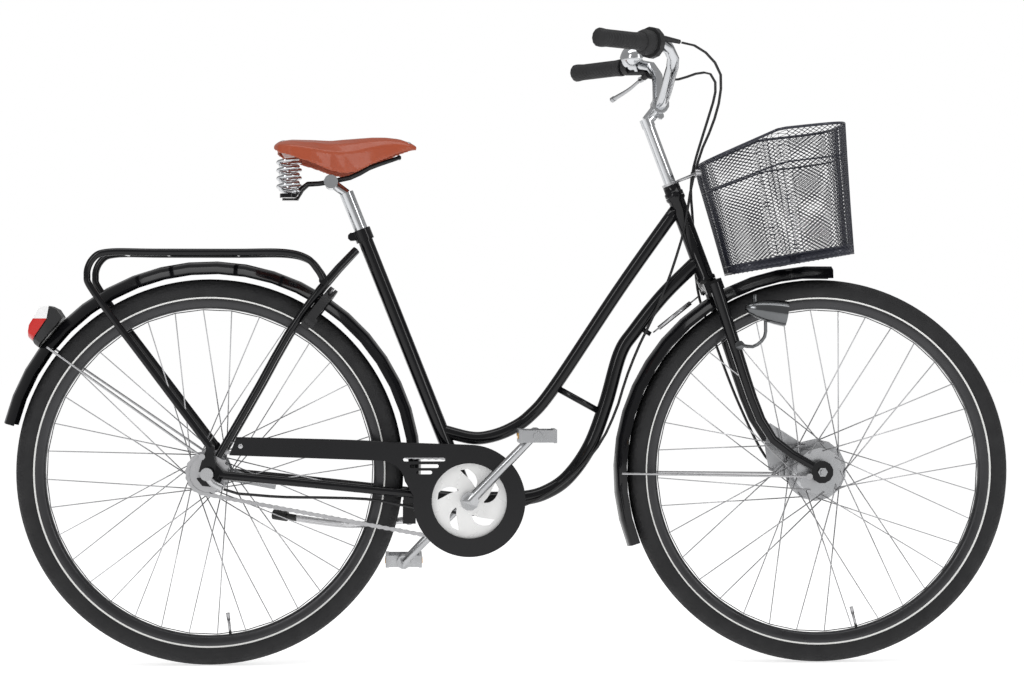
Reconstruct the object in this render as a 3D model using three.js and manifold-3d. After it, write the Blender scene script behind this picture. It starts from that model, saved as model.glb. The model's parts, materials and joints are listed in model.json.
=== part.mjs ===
// A women's city bicycle: swan-neck frame, 28 inch wheels, carrier, chain guard, basket and side stand.
// Millimetres. +X forward, +Y to the rider's left, +Z up. The ground is Z = 0 and the wheels stand on it.
import * as THREE from "three";
import { mergeVertices } from "three/addons/utils/BufferGeometryUtils.js";
import Module from "manifold-3d";

const wasm = await Module();
wasm.setup();

// ---------- driving dimensions ----------
const WHEEL_R = 353; // tyre 42-622
const TYRE_HALF = 21;
const BEAD_R = 314; // where the tyre sits on the rim
const RIM_IN_R = 299;
const WHEEL_FACETS = 36;
const SPOKES = 36;
const GAP = 0.3; // between pieces that touch
const REAR = v(-546, 0, WHEEL_R);
const FRONT = v(573, 0, WHEEL_R);
const BB = v(-73, 0, 302); // bottom bracket
const CRANK = 170;
const CRANK_DEG = 45.5;
const CHAIN_Y = -44;
const PITCH = 12.7;
const RING_TEETH = 38;
const COG_TEETH = 19;
const HEAD_TOP = v(308.3, 0, 859.8);
const HEAD_LOW = v(366.7, 0, 704.7);
const HEAD_R = 15;
const SEAT_TOP = v(-270.6, 0, 797.7);
const SEAT_TUBE_R = 13.6;
const POST_R = 12.7;
const CLAMP = v(280, 0, 1028); // handlebar clamp
const BAR_R = 11.1;
const BLADE_Y = 47;
const FRONT_GUARD_R = 379;
const REAR_GUARD_R = 386;
const GUARD_HALF = 30; // half width of a mudguard
const CARRIER_Y = 62;
const CARRIER_R = 6.5;
const CARRIER_Z = 753.5;
const STAND_PIVOT = v(-182, 44, 262);
const CENTRE_SHIFT = -2.4; // puts the origin under the middle of the whole bicycle

const steerDown = HEAD_LOW.clone().sub(HEAD_TOP).normalize();
const steerFore = v(-steerDown.z, 0, steerDown.x);
const seatUp = SEAT_TOP.clone().sub(BB).normalize();

// ---------- materials ----------
const paint = (color, roughness, metalness) => new THREE.MeshStandardMaterial({ color, roughness,
  metalness });
const BLACK = paint(0x0b0b0c, 0.18, 0.2);
const CHROME = paint(0xc9ccd0, 0.12, 1);
const ALLOY = paint(0xb5b7b9, 0.35, 1);
const STEEL = paint(0x9a9c9e, 0.4, 1);
const RUBBER = paint(0x242425, 0.8, 0);
const TYRE = paint(0x2f2f30, 0.85, 0);
const RIM = paint(0x4a4b4d, 0.4, 0.8);
const PLASTIC = paint(0x1a1a1b, 0.5, 0);
const LEATHER = paint(0xb5573a, 0.45, 0);
const WHITE = paint(0xe8e8e6, 0.35, 0.3);
const BASKET = paint(0x1c1e26, 0.4, 0.6);
const RED = paint(0xb3261e, 0.2, 0);
const CLEAR = paint(0xd9dde0, 0.1, 0);

// ---------- helpers ----------
function v(x, y, z) {
  return new THREE.Vector3(x, y, z);
}

function solid(geometry) {
  const bare = geometry.clone();
  bare.deleteAttribute("normal");
  bare.deleteAttribute("uv");
  const merged = mergeVertices(bare, 1e-3);
  const p = merged.attributes.position;
  const index = merged.index.array;
  const tris = [];
  let volume = 0;
  const [a, b, c] = [v(0, 0, 0), v(0, 0, 0), v(0, 0, 0)];
  for (let i = 0; i < index.length; i += 3) {
    const [i0, i1, i2] = [index[i], index[i + 1], index[i + 2]];
    if (i0 === i1 || i1 === i2 || i2 === i0) continue;
    tris.push(i0, i1, i2);
    a.fromBufferAttribute(p, i0);
    b.fromBufferAttribute(p, i1);
    c.fromBufferAttribute(p, i2);
    volume += a.dot(b.cross(c));
  }
  if (volume < 0) tris.reverse();
  return new wasm.Manifold(
    new wasm.Mesh({ numProp: 3, vertProperties: new Float32Array(p.array),
      triVerts: new Uint32Array(tris) }),
  );
}

function geometryOf(body) {
  const mesh = body.getMesh();
  const geometry = new THREE.BufferGeometry();
  geometry.setAttribute("position", new THREE.BufferAttribute(new Float32Array(mesh.vertProperties), 3));
  geometry.setIndex(new THREE.BufferAttribute(new Uint32Array(mesh.triVerts), 1));
  return geometry;
}

const join = (first, ...rest) => geometryOf(rest.reduce((sum, g) => sum.add(solid(g)), solid(first)));
const cut = (first, ...rest) => geometryOf(rest.reduce((sum, g) => sum.subtract(solid(g)), solid(first)));
const common = (first, second) => geometryOf(solid(first).intersect(solid(second)));

// Rings of equal length joined into one skin, capped at both ends or closed into a loop.
function loft(rings, loop = false) {
  const n = rings[0].length;
  const positions = rings.flat().flatMap((p) => [p.x, p.y, p.z]);
  const index = [];
  const rows = loop ? rings.length : rings.length - 1;
  for (let i = 0; i < rows; i++) {
    const next = (i + 1) % rings.length;
    for (let j = 0; j < n; j++) {
      const k = (j + 1) % n;
      index.push(i * n + j, i * n + k, next * n + k, i * n + j, next * n + k, next * n + j);
    }
  }
  if (!loop) {
    for (const [row, flip] of [[0, true], [rings.length - 1, false]]) {
      const flat = flatten(rings[row]);
      for (const [a, b, c] of THREE.ShapeUtils.triangulateShape(flat, [])) {
        const tri = [row * n + a, row * n + b, row * n + c];
        if (flip === THREE.ShapeUtils.area(flat) > 0) tri.reverse();
        index.push(...tri);
      }
    }
  }
  const geometry = new THREE.BufferGeometry();
  geometry.setAttribute("position", new THREE.Float32BufferAttribute(positions, 3));
  geometry.setIndex(index);
  return geometry;
}

// A planar ring's points in its own plane, turning the same way as the ring does about the plane's normal.
function flatten(ring) {
  const centre = ring.reduce((sum, p) => sum.add(p), v(0, 0, 0)).divideScalar(ring.length);
  const normal = v(0, 0, 0);
  ring.forEach((p, i) => normal.add(p.clone().sub(centre).cross(ring[(i + 1) % ring.length].clone().sub(centre))));
  normal.normalize();
  const right = ring[0].clone().sub(centre).normalize();
  const up = normal.clone().cross(right);
  return ring.map((p) => new THREE.Vector2(p.clone().sub(centre).dot(right),
    p.clone().sub(centre).dot(up)));
}

// A round bar whose centre line runs through the points. radius is a number or a function of 0..1.
function bar(points, radius, sides = 12, steps = points.length === 2 ? 1 : 6 * (points.length - 1)) {
  const curve = points.length === 2 ? new THREE.LineCurve3(...points) : new THREE.CatmullRomCurve3(points);
  const rings = [];
  let normal = null;
  for (let i = 0; i <= steps; i++) {
    const t = i / steps;
    const tangent = curve.getTangentAt(t);
    if (!normal) {
      normal = Math.abs(tangent.y) < 0.9 ? v(0, 1, 0) : v(0, 0, 1);
    }
    normal.addScaledVector(tangent, -normal.dot(tangent)).normalize();
    const side = tangent.clone().cross(normal);
    const r = typeof radius === "number" ? radius : radius(t);
    const centre = curve.getPointAt(t);
    const ring = [];
    for (let j = 0; j < sides; j++) {
      const a = (2 * Math.PI * (j + 0.5)) / sides;
      ring.push(centre.clone().addScaledVector(normal, r * Math.cos(a)).addScaledVector(side,
        r * Math.sin(a)));
    }
    rings.push(ring);
  }
  return loft(rings);
}

const rod = (a, b, r, sides = 8) => bar([a, b], r, sides);

// A closed (radius, height) profile turned about an axis through origin.
function turned(profile, origin, axis, segments = 24, phase = 0) {
  const points = [...profile, profile[0]].map(([r, h]) => new THREE.Vector2(r, h));
  const geometry = new THREE.LatheGeometry(points, segments, phase);
  geometry.applyQuaternion(new THREE.Quaternion().setFromUnitVectors(v(0, 1, 0), axis.clone().normalize()));
  return geometry.translate(origin.x, origin.y, origin.z);
}

const AXLE_DIR = v(0, 1, 0);
const ring = (rIn, rOut, h0, h1) => [[rIn, h0], [rOut, h0], [rOut, h1], [rIn, h1]];
const disc = (r, h0, h1) => [[0, h0], [r, h0], [r, h1], [0, h1]];

// A flat plate: outline points are (X, Z), and the plate fills y0..y1.
function plate(outline, y0, y1, holes = []) {
  const shape = outline instanceof THREE.Shape ? outline : new THREE.Shape(outline.map((p) => new THREE.Vector2(...p)));
  for (const hole of holes) shape.holes.push(hole);
  const geometry = new THREE.ExtrudeGeometry(shape, { depth: y1 - y0, bevelEnabled: false,
    curveSegments: 6 });
  return geometry.rotateX(Math.PI / 2).translate(0, y1, 0);
}

function circlePath(x, z, r) {
  const path = new THREE.Path();
  path.absarc(x, z, r, 0, 2 * Math.PI, true);
  return path;
}

// A box centred on a point, tipped about the Y axis (a positive angle lifts its front end).
function block(centre, sx, sy, sz, degrees = 0) {
  const geometry = new THREE.BoxGeometry(sx, sy, sz);
  return geometry.rotateY(THREE.MathUtils.degToRad(-degrees)).translate(centre.x, centre.y, centre.z);
}

const polar = (centre, r, degrees, y = 0) => {
  const a = THREE.MathUtils.degToRad(degrees);
  return v(centre.x + r * Math.cos(a), y, centre.z + r * Math.sin(a));
};
const onSteer = (down, fore = 0, y = 0) =>
  HEAD_TOP.clone().addScaledVector(steerDown, down).addScaledVector(steerFore, fore).setY(y);
const onSeat = (up, y = 0) => BB.clone().addScaledVector(seatUp, up).setY(y);

const bicycle = new THREE.Group();
bicycle.position.x = CENTRE_SHIFT;
function add(name, geometry, material) {
  const mesh = new THREE.Mesh(geometryOf(solid(geometry)), material);
  mesh.name = name;
  bicycle.add(mesh);
}

// ---------- frame ----------
const HEAD_LENGTH = HEAD_TOP.distanceTo(HEAD_LOW);
const SEAT_LENGTH = SEAT_TOP.distanceTo(BB);
const BB_R = 20;
const BB_HALF = 34;
const seatHull = rod(BB, onSeat(SEAT_LENGTH), SEAT_TUBE_R + GAP, 14);
const bbHull = rod(v(BB.x, -60, BB.z), v(BB.x, 60, BB.z), BB_R + GAP, 14);

function headTube() {
  const cup = 18;
  const profile = [
    [13.1, 0], [cup, 0], [cup, 5], [HEAD_R, 9], [HEAD_R, HEAD_LENGTH - 9],
    [cup, HEAD_LENGTH - 6], [cup, HEAD_LENGTH], [13.1, HEAD_LENGTH],
  ];
  return turned(profile, HEAD_TOP, steerDown, 14);
}
const headHull = rod(onSteer(-40), onSteer(HEAD_LENGTH + 40), HEAD_R + 0.8, 14);

const upperLine = [
  v(314.5, 0, 842), v(206.4, 0, 690), v(86.3, 0, 510), v(40, 0, 455), v(3, 0, 430), v(-36, 0, 416.5),
  v(-70, 0, 415), v(-122, 0, 428),
];
const lowerLine = [
  v(352.3, 0, 743), v(286, 0, 677), v(234, 0, 612), v(206.4, 0, 569), v(180, 0, 477), v(151, 0, 400),
  v(114, 0, 346), v(77, 0, 318), v(30, 0, 304), v(BB.x, 0, BB.z),
];
const UPPER_R = 11.8;
const LOWER_R = 13.4;

function lowerMainTube() {
  const tube = cut(bar(lowerLine, LOWER_R, 10, 14), headHull, bbHull);
  const brace = rod(v(92, 0, 505), v(168, 0, 463), 6, 8);
  const damperLug = rod(v(240, 0, 619), v(263, 0, 605.5), 4.5, 6);
  return join(tube, damperLug, cut(brace, bar(upperLine, UPPER_R + GAP, 10, 14)));
}

function seatTube() {
  const bore = rod(onSeat(30), onSeat(SEAT_LENGTH + 20), POST_R + 0.4, 14);
  const tube = rod(onSeat(0), onSeat(SEAT_LENGTH), SEAT_TUBE_R, 14);
  const collar = rod(onSeat(SEAT_LENGTH - 22), onSeat(SEAT_LENGTH), 17, 14);
  const ear = rod(v(-287, -9, 784), v(-287, 9, 784), 8, 8);
  const neck = block(v(-279, 0, 783), 14, 14, 12);
  const shell = rod(v(BB.x, -BB_HALF, BB.z), v(BB.x, BB_HALF, BB.z), BB_R, 14);
  const axleBore = rod(v(BB.x, -40, BB.z), v(BB.x, 40, BB.z), 9.2, 16);
  return cut(join(tube, collar, ear, neck, shell), bore, axleBore);
}

add("head_tube", headTube(), BLACK);
add("upper_main_tube", cut(bar(upperLine, UPPER_R, 10, 14), headHull, seatHull), BLACK);
add("lower_main_tube", lowerMainTube(), BLACK);
add("seat_tube", seatTube(), BLACK);

const DROPOUT_Y = 63;
const DROPOUT_T = 5;

function dropoutOutline() {
  return [[-566, 344], [-556, 331], [-538, 329], [-522, 338], [-518, 356], [-532, 372], [-535, 392],
    [-550, 394], [-558, 372]];
}

const chainStayBar = (side, r) =>
  bar([v(-526, side * 60, 350), v(-430, side * 52, 341), v(-250, side * 40, 322),
    v(-84, side * 25, 304)], r, 10, 7);

function chainStay(side) {
  const y = side * DROPOUT_Y;
  const slot = rod(v(REAR.x, y - 20, REAR.z), v(REAR.x, y + 20, REAR.z), 5.4, 8);
  const way = block(v(REAR.x - 14, y, REAR.z - 2), 30, 40, 10.6);
  const drop = cut(plate(dropoutOutline(), y - DROPOUT_T / 2, y + DROPOUT_T / 2), slot, way);
  return cut(join(drop, chainStayBar(side, 8)), bbHull, seatHull);
}

const seatStayLine = (side) => [
  v(-279, side * 15, 760), v(-334, side * 42, 700), v(-398, side * 49, 612), v(-459, side * 54, 503),
    v(-528, side * 60, 383),
];
const seatStayHull = (side) => bar(seatStayLine(side), 7 + GAP, 10, 9);

function seatStay(side) {
  const collar = rod(onSeat(SEAT_LENGTH - 30), onSeat(SEAT_LENGTH), 17.3, 14);
  return cut(bar(seatStayLine(side), 7, 10, 9), seatHull, collar);
}

const dropoutRoom = (side) =>
  plate(dropoutOutline(), side * DROPOUT_Y - DROPOUT_T / 2 - GAP, side * DROPOUT_Y + DROPOUT_T / 2 + GAP);

// The side stand's plate bridges the two chain stays and carries the pin the leg turns on.
function standBracket() {
  const p = STAND_PIVOT;
  const bridge = block(v(-176, 1, 302.5), 34, 72, 12);
  const lug = block(v(p.x, 30, 277), 24, 10, 44);
  return join(bridge, lug, rod(v(p.x, 26, p.z), v(p.x, 54, p.z), 5, 8));
}
add("chain_stays", join(chainStay(-1), chainStay(1), standBracket()), BLACK);
for (const [name, side] of [["right", -1], ["left", 1]]) {
  add(`${name}_seat_stay`, cut(seatStay(side), dropoutRoom(side), chainStayBar(side, 8 + GAP)), BLACK);
}

// ---------- wheels ----------
const FACET_FACTOR = 1 / Math.cos(Math.PI / WHEEL_FACETS);
const HALF_FACET = Math.PI / WHEEL_FACETS;
const wheelRing = (profile, centre) =>
  turned(profile.map(([r, h]) => [r * FACET_FACTOR, h]), centre, AXLE_DIR, WHEEL_FACETS, HALF_FACET);

function tyre(centre) {
  const half = [[WHEEL_R, 9], [346, 18], [333, TYRE_HALF], [BEAD_R, 12]];
  const profile = [...half, ...half.map(([r, h]) => [r, -h]).reverse()];
  return wheelRing(profile, centre);
}

function rim(centre) {
  const r = BEAD_R - 0.5;
  return wheelRing([[r, 13], [RIM_IN_R, 8], [RIM_IN_R, -8], [r, -13]], centre);
}

// A thin hoop inside the rim, with every spoke growing out of its inner face towards its flange.
// Spokes that cross lie on either side of the flange.
function spokes(centre, flanges) {
  const [rIn, rOut, half, halfDeg] = [RIM_IN_R - 2.6, RIM_IN_R - 0.8, 1, 0.2];
  const points = [];
  const index = [];
  const quad = (a, b, c, d) => index.push(a, b, c, a, c, d);
  for (let i = 0; i < SPOKES; i++) {
    const flange = flanges[i % 2];
    const side = i % 2 ? 1 : -1;
    const crossing = Math.floor(i / 2) % 2 ? 1 : -1;
    const deg = (360 * (i + 0.25)) / SPOKES;
    for (const d of [deg - halfDeg, deg + halfDeg]) {
      points.push(polar(centre, rIn, d, -half), polar(centre, rIn, d, half), polar(centre, rOut, d));
    }
    const hub = polar(centre, flange.r - 3, deg + 60 * crossing, flange.y + side * crossing * 4.2);
    const run = hub.clone().sub(polar(centre, rIn, deg));
    const across = v(run.z, 0, -run.x).normalize().multiplyScalar(half);
    for (const [t, y] of [[-1, -half], [-1, half], [1, half], [1, -half]]) {
      points.push(hub.clone().addScaledVector(across, t).add(v(0, y, 0)));
    }
    const k = 10 * i;
    const next = (k + 10) % (10 * SPOKES);
    const rimEnd = [k, k + 1, k + 4, k + 3];
    const hubEnd = [k + 6, k + 7, k + 8, k + 9];
    for (let j = 0; j < 4; j++) {
      const m = (j + 1) % 4;
      quad(rimEnd[j], rimEnd[m], hubEnd[m], hubEnd[j]);
    }
    quad(...hubEnd);
    quad(k + 1, k + 2, k + 5, k + 4);
    quad(k + 2, k, k + 3, k + 5);
    quad(k + 3, k + 4, next + 1, next);
    quad(k + 4, k + 5, next + 2, next + 1);
    quad(k + 5, k + 3, next, next + 2);
  }
  const geometry = new THREE.BufferGeometry();
  geometry.setAttribute("position", new THREE.Float32BufferAttribute(points.flatMap((p) => [p.x, p.y,
    p.z]), 3));
  geometry.setIndex(index);
  return geometry;
}

const FRONT_FLANGES = [{ r: 41, y: -27 }, { r: 55, y: 24 }];
const REAR_FLANGES = [{ r: 36, y: -29 }, { r: 36, y: 29 }];
const HUB_BORE = 5.6;

function frontHub() {
  const profile = [
    [HUB_BORE, -41], [11, -41], [15, -30], [15, -28.4], [43.5, -28.4], [43.5, -25.6], [24, -25.6],
      [24, 8], [44, 14],
    [44, 22.6], [58, 22.6], [58, 25.4], [50, 25.4], [50, 31], [HUB_BORE, 31],
  ];
  return turned(profile, FRONT, AXLE_DIR, 14);
}

function rearHub() {
  const profile = [
    [HUB_BORE, -37], [18, -37], [22, -31], [22, -30.4], [38.5, -30.4], [38.5, -27.6], [31, -27.6],
      [31, 27.6],
    [38.5, 27.6], [38.5, 30.4], [30, 30.4], [28, 40], [HUB_BORE, 40],
  ];
  return turned(profile, REAR, AXLE_DIR, 14);
}

for (const [name, centre, flanges, hub] of [
  ["front", FRONT, FRONT_FLANGES, frontHub()],
  ["rear", REAR, REAR_FLANGES, rearHub()],
]) {
  add(`${name}_tyre`, tyre(centre), TYRE);
  add(`${name}_rim`, rim(centre), RIM);
  add(`${name}_spokes`, spokes(centre, flanges), STEEL);
  add(`${name}_hub`, hub, ALLOY);
}

function frontAxle() {
  const axle = rod(v(FRONT.x, -66, FRONT.z), v(FRONT.x, 66, FRONT.z), 4.8, 8);
  const nuts = [-1, 1].map((s) => rod(v(FRONT.x, s * 54.4, FRONT.z), v(FRONT.x, s * 62, FRONT.z), 9, 6));
  const cover = turned(disc(44, 32, 36), FRONT, AXLE_DIR, 28);
  const cone = turned(disc(12, 35, 47.6), FRONT, AXLE_DIR, 14);
  const arm = plate([[566, 392], [490, 440], [480, 400], [488, 352], [548, 330]], 35.5, 39.5);
  return join(axle, ...nuts, cover, cone, arm);
}

function rearAxle() {
  const axle = rod(v(REAR.x, -80, REAR.z), v(REAR.x, 76, REAR.z), 4.8, 8);
  const nuts = [-1, 1].map((s) => rod(v(REAR.x, s * 66.2, REAR.z), v(REAR.x, s * 75, REAR.z), 9, 6));
  const coneLeft = turned(disc(14, 41, 60), REAR, AXLE_DIR, 14);
  const arm = plate([[-556, 343], [-540, 339], [-430, 318], [-428, 328], [-538, 367], [-556, 364]], 44, 47);
  const cap = rod(v(REAR.x, -75, REAR.z), v(REAR.x, -92, REAR.z), 12, 12);
  const guide = bar([v(REAR.x, -84, REAR.z - 4), v(-534, -84, 336), v(-520, -82, 329)], 7, 10, 4);
  const coneRight = turned(disc(13, -60, -47), REAR, AXLE_DIR, 14);
  return join(axle, ...nuts, coneLeft, coneRight, arm, cap, guide);
}
add("front_axle", frontAxle(), ALLOY);
add("rear_axle", rearAxle(), ALLOY);

// ---------- drive ----------
const RING_PITCH_R = PITCH / (2 * Math.sin(Math.PI / RING_TEETH));
const COG_PITCH_R = PITCH / (2 * Math.sin(Math.PI / COG_TEETH));

// The chain's path offset outwards by d: two arcs and the two straight runs between them.
function chainLoop(d) {
  const [r1, r2] = [RING_PITCH_R + d, COG_PITCH_R + d];
  const span = v(REAR.x - BB.x, 0, REAR.z - BB.z);
  const lean = Math.atan2(span.z, span.x);
  const wrap = Math.acos((r1 - r2) / Math.hypot(span.x, span.z));
  const shape = new THREE.Shape();
  shape.absarc(BB.x, BB.z, r1, lean + wrap, lean - wrap + 2 * Math.PI, false);
  shape.absarc(REAR.x, REAR.z, r2, lean - wrap, lean + wrap, false);
  shape.closePath();
  return shape;
}

function sampled(shape, divisions) {
  const points = shape.extractPoints(divisions).shape;
  return new THREE.Shape(points);
}

function chain() {
  const outer = plate(sampled(chainLoop(4.3), 9), CHAIN_Y - 3.8, CHAIN_Y + 3.8);
  const inner = plate(sampled(chainLoop(-4.3), 9), CHAIN_Y - 6, CHAIN_Y + 6);
  const slot = plate(sampled(chainLoop(2), 9), CHAIN_Y - 1.7, CHAIN_Y + 1.7);
  return cut(outer, inner, slot);
}

function toothed(pitchR, teeth, centre, y, half) {
  const shape = new THREE.Shape();
  const [root, tip] = [pitchR - 4, pitchR + 1.2];
  for (let i = 0; i < teeth; i++) {
    for (const [share, r] of [[-0.45, root], [0, tip], [0.45, root]]) {
      const a = (2 * Math.PI * (i + share)) / teeth;
      const p = [centre.x + r * Math.cos(a), centre.z + r * Math.sin(a)];
      if (i === 0 && share === -0.45) shape.moveTo(...p);
      else shape.lineTo(...p);
    }
  }
  return plate(shape, y - half, y + half);
}

function rearSprocket() {
  const body = toothed(COG_PITCH_R, COG_TEETH, REAR, CHAIN_Y, 1.1);
  return cut(body, rod(v(REAR.x, -60, REAR.z), v(REAR.x, -30, REAR.z), 15, 10));
}

function chainring() {
  const body = toothed(RING_PITCH_R, RING_TEETH, BB, CHAIN_Y, 1.1);
  const windows = [0, 1, 2, 3, 4].map((i) => {
    const c = polar(BB, 46, 90 + 72 * i);
    return rod(v(c.x, -60, c.z), v(c.x, -30, c.z), 12, 8);
  });
  return cut(body, ...windows, rod(v(BB.x, -60, BB.z), v(BB.x, -30, BB.z), 12.4, 12));
}

const ARM_Y = 66;
const pedalAt = (side) => polar(BB, CRANK, side < 0 ? CRANK_DEG : CRANK_DEG + 180, side * 124);

function crankArm(side) {
  const eye = pedalAt(side);
  const inner = side * 58.5;
  const boss = rod(v(BB.x, inner, BB.z), v(BB.x, side * 74, BB.z), 17, 10);
  const tip = rod(v(eye.x, side * 60, eye.z), v(eye.x, side * 73.5, eye.z), 13, 12);
  const arm = bar([v(BB.x, side * ARM_Y, BB.z), v(eye.x, side * (ARM_Y - 0.6),
    eye.z)], (t) => 10.5 - 2.5 * t, 8);
  return join(boss, tip, arm);
}

function leftCrank() {
  const axle = rod(v(BB.x, -52, BB.z), v(BB.x, 66, BB.z), 8, 12);
  return join(crankArm(1), axle);
}

function rightCrank() {
  const boss = rod(v(BB.x, -64, BB.z), v(BB.x, -39.5, BB.z), 11.8, 12);
  return cut(join(crankArm(-1), boss), rod(v(BB.x, -30, BB.z), v(BB.x, -52.6, BB.z), 8.4, 12));
}

// A cage pedal: two side plates, end plates and a barrel, on a spindle from the crank.
function pedal(side) {
  const c = pedalAt(side);
  const [near, far] = [side * 82, side * 164];
  const barrel = rod(v(c.x, side * 74, c.z), v(c.x, side * 168, c.z), 9, 8);
  const middle = side * 123;
  const runners = [-1, 1].map((s) => block(v(c.x + s * 31, middle, c.z), 6, 84, 24));
  const ends = [near, far].map((y) => block(v(c.x, y, c.z), 66, 3, 22));
  return join(barrel, ...runners, ...ends);
}

add("chain", chain(), STEEL);
add("rear_sprocket", rearSprocket(), STEEL);
add("chainring", chainring(), WHITE);
add("right_crank", rightCrank(), ALLOY);
add("left_crank", leftCrank(), ALLOY);
add("right_pedal", pedal(-1), ALLOY);
add("left_pedal", pedal(1), ALLOY);

// The chain guard: a long strip that opens into a ring round the chainring.
const GUARD_Y = -54.5;
function chainGuard() {
  const R = 102;
  const shape = new THREE.Shape();
  shape.moveTo(-495, 418.5);
  shape.lineTo(-508, 386);
  shape.lineTo(-230, 375.5);
  shape.quadraticCurveTo(-196, 370, -190, 338);
  shape.lineTo(BB.x + R * Math.cos(Math.PI * 0.97), BB.z + R * Math.sin(Math.PI * 0.97));
  shape.absarc(BB.x, BB.z, R, Math.PI * 0.97, Math.PI * 2.5, false);
  const slots = [[-155, 377.5, 70, 7], [-155, 365.5, 46, 7], [-155, 354, 22, 7]].map(([x, z, w, h]) => {
    const path = new THREE.Path();
    path.absarc(x + w / 2, z, h / 2, -Math.PI / 2, Math.PI / 2, false);
    path.absarc(x - w / 2, z, h / 2, Math.PI / 2, Math.PI * 1.5, false);
    path.closePath();
    return path;
  });
  const face = plate(shape, GUARD_Y - 0.9, GUARD_Y + 0.9, [...slots, circlePath(BB.x, BB.z, 68.5)]);
  const lip = bar(
    [v(-495, GUARD_Y + 2, 416), v(-300, GUARD_Y + 2, 411), v(-190, GUARD_Y + 2, 405.6),
      v(BB.x, GUARD_Y + 2, 401.4)],
    3, 8, 8,
  );
  return join(face, lip);
}
add("chain_guard", chainGuard(), BLACK);

// ---------- mudguards and stays ----------
function mudguard(centre, r, depth, from, to, steps) {
  const outer = [];
  const inner = [];
  const arcs = 4;
  for (let i = 0; i <= arcs; i++) {
    const a = Math.PI * (i / arcs - 0.5);
    outer.push([r - depth * (1 - Math.cos(a)), GUARD_HALF * Math.sin(a)]);
    inner.push([r - 1.8 - (depth - 1) * (1 - Math.cos(a)), (GUARD_HALF - 1.8) * Math.sin(a)]);
  }
  const section = [...outer, ...inner.reverse()];
  const rings = [];
  for (let i = 0; i <= steps; i++) {
    const deg = from + ((to - from) * i) / steps;
    rings.push(section.map(([radius, y]) => polar(centre, radius, deg, y)));
  }
  return loft(rings);
}

// One bent wire: up from an eye beside the axle, through the mudguard's skirts, and down the other side.
const WIRE_R = 2.2;
function guardWire(centre, r, deg, radius) {
  const c = polar(centre, r, deg);
  return rod(v(c.x, -GUARD_HALF - 5, c.z), v(c.x, GUARD_HALF + 5, c.z), radius, 6);
}

function mudguardStay([centre, r, deg], eye) {
  const top = polar(centre, r, deg, GUARD_HALF + 5);
  const parts = [-1, 1].flatMap((s) => [
    rod(v(eye.x, s * eye.y, eye.z), v(top.x, s * top.y, top.z), WIRE_R, 6),
    rod(v(eye.x, s * (eye.y - 2), eye.z), v(eye.x, s * (eye.y + 2), eye.z), 6, 8),
  ]);
  return join(guardWire(centre, r, deg, WIRE_R), ...parts);
}
const REAR_WIRE = [REAR, 370, 142];
const FRONT_WIRE = [FRONT, 364, 180.5];
const rearGuard = mudguard(REAR, REAR_GUARD_R, 22, -6, 166.4, 22);
const frontGuard = mudguard(FRONT, FRONT_GUARD_R, 22, 86, 201.5, 15);
const stayDents = [-1, 1].map((s) => chainStayBar(s, 8 + GAP));
add("rear_mudguard", cut(rearGuard, guardWire(...REAR_WIRE, WIRE_R + GAP), ...stayDents), BLACK);
add("front_mudguard", cut(frontGuard, guardWire(...FRONT_WIRE, WIRE_R + GAP)), BLACK);
add("rear_mudguard_stay", mudguardStay(REAR_WIRE, v(-556, 70, 384)), STEEL);
add("front_mudguard_stay", mudguardStay(FRONT_WIRE, v(549, 58.5, 345)), STEEL);

// ---------- carrier, lamp and lock ----------
function carrierSide(side) {
  const y = side * CARRIER_Y;
  const line = [
    v(-541, side * 69, 400), v(-650, side * 65, 545), v(-748, y, 677), v(-763, y, 712), v(-752, y, 742),
      v(-724, y, CARRIER_Z),
    v(-640, y, CARRIER_Z), v(-500, y, CARRIER_Z), v(-410, y, CARRIER_Z), v(-368, y, 743),
      v(-348, y * 0.96, 722), v(-338, y * 0.94, 705),
  ];
  return bar(line, CARRIER_R, 6, 16);
}

function carrier() {
  const bars = [-700, -625, -497, -400].map((x) =>
    rod(v(x, -CARRIER_Y, CARRIER_Z), v(x, CARRIER_Y, CARRIER_Z), 4.5, 6),
  );
  const feet = [-1, 1].map((s) => rod(v(-541, s * 66.5, 398), v(-541, s * 74, 398), 8.5, 8));
  const lugs = [-1, 1].map((s) => rod(v(-338, s * 51, 703), v(-338, s * 62, 703), 8, 8));
  return join(carrierSide(-1), carrierSide(1), ...bars, ...feet, ...lugs);
}
add("rear_carrier", cut(carrier(), ...[-1, 1].map((s) => seatStayHull(s))), BLACK);

const guardRoom = turned(disc(REAR_GUARD_R + GAP, -40, 40), REAR, AXLE_DIR, 96);
function tailLampHousing() {
  const outline = [[-822, 650], [-813, 636], [-858, 574], [-864, 577], [-866, 592], [-838, 634],
    [-834, 656]];
  return cut(common(plate(outline, -31, 31), rod(v(-760, 0, 560), v(-900, 0, 680), 48, 24)), guardRoom);
}
function tailLampLens() {
  const outline = [[-836, 657], [-840, 634], [-867.5, 594], [-869, 580], [-876, 596], [-872, 622],
    [-852, 655]];
  return common(plate(outline, -30, 30), rod(v(-760, 0, 560), v(-900, 0, 680), 46, 24));
}
add("tail_lamp_housing", tailLampHousing(), PLASTIC);
add("tail_lamp_lens", tailLampLens(), RED);

// ---------- ring lock ----------
// A horseshoe case in front of the seat stays. The curved shackle turns inside it, round the case's own centre.
const LOCK_DOWN = v(-0.605, 0, -0.796).normalize();
const LOCK_OUT = v(0.796, 0, -0.605).normalize();
const LOCK_CENTRE = v(-316, 0, 693).addScaledVector(LOCK_DOWN, 68);
const SHACKLE_R = 54;

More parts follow.
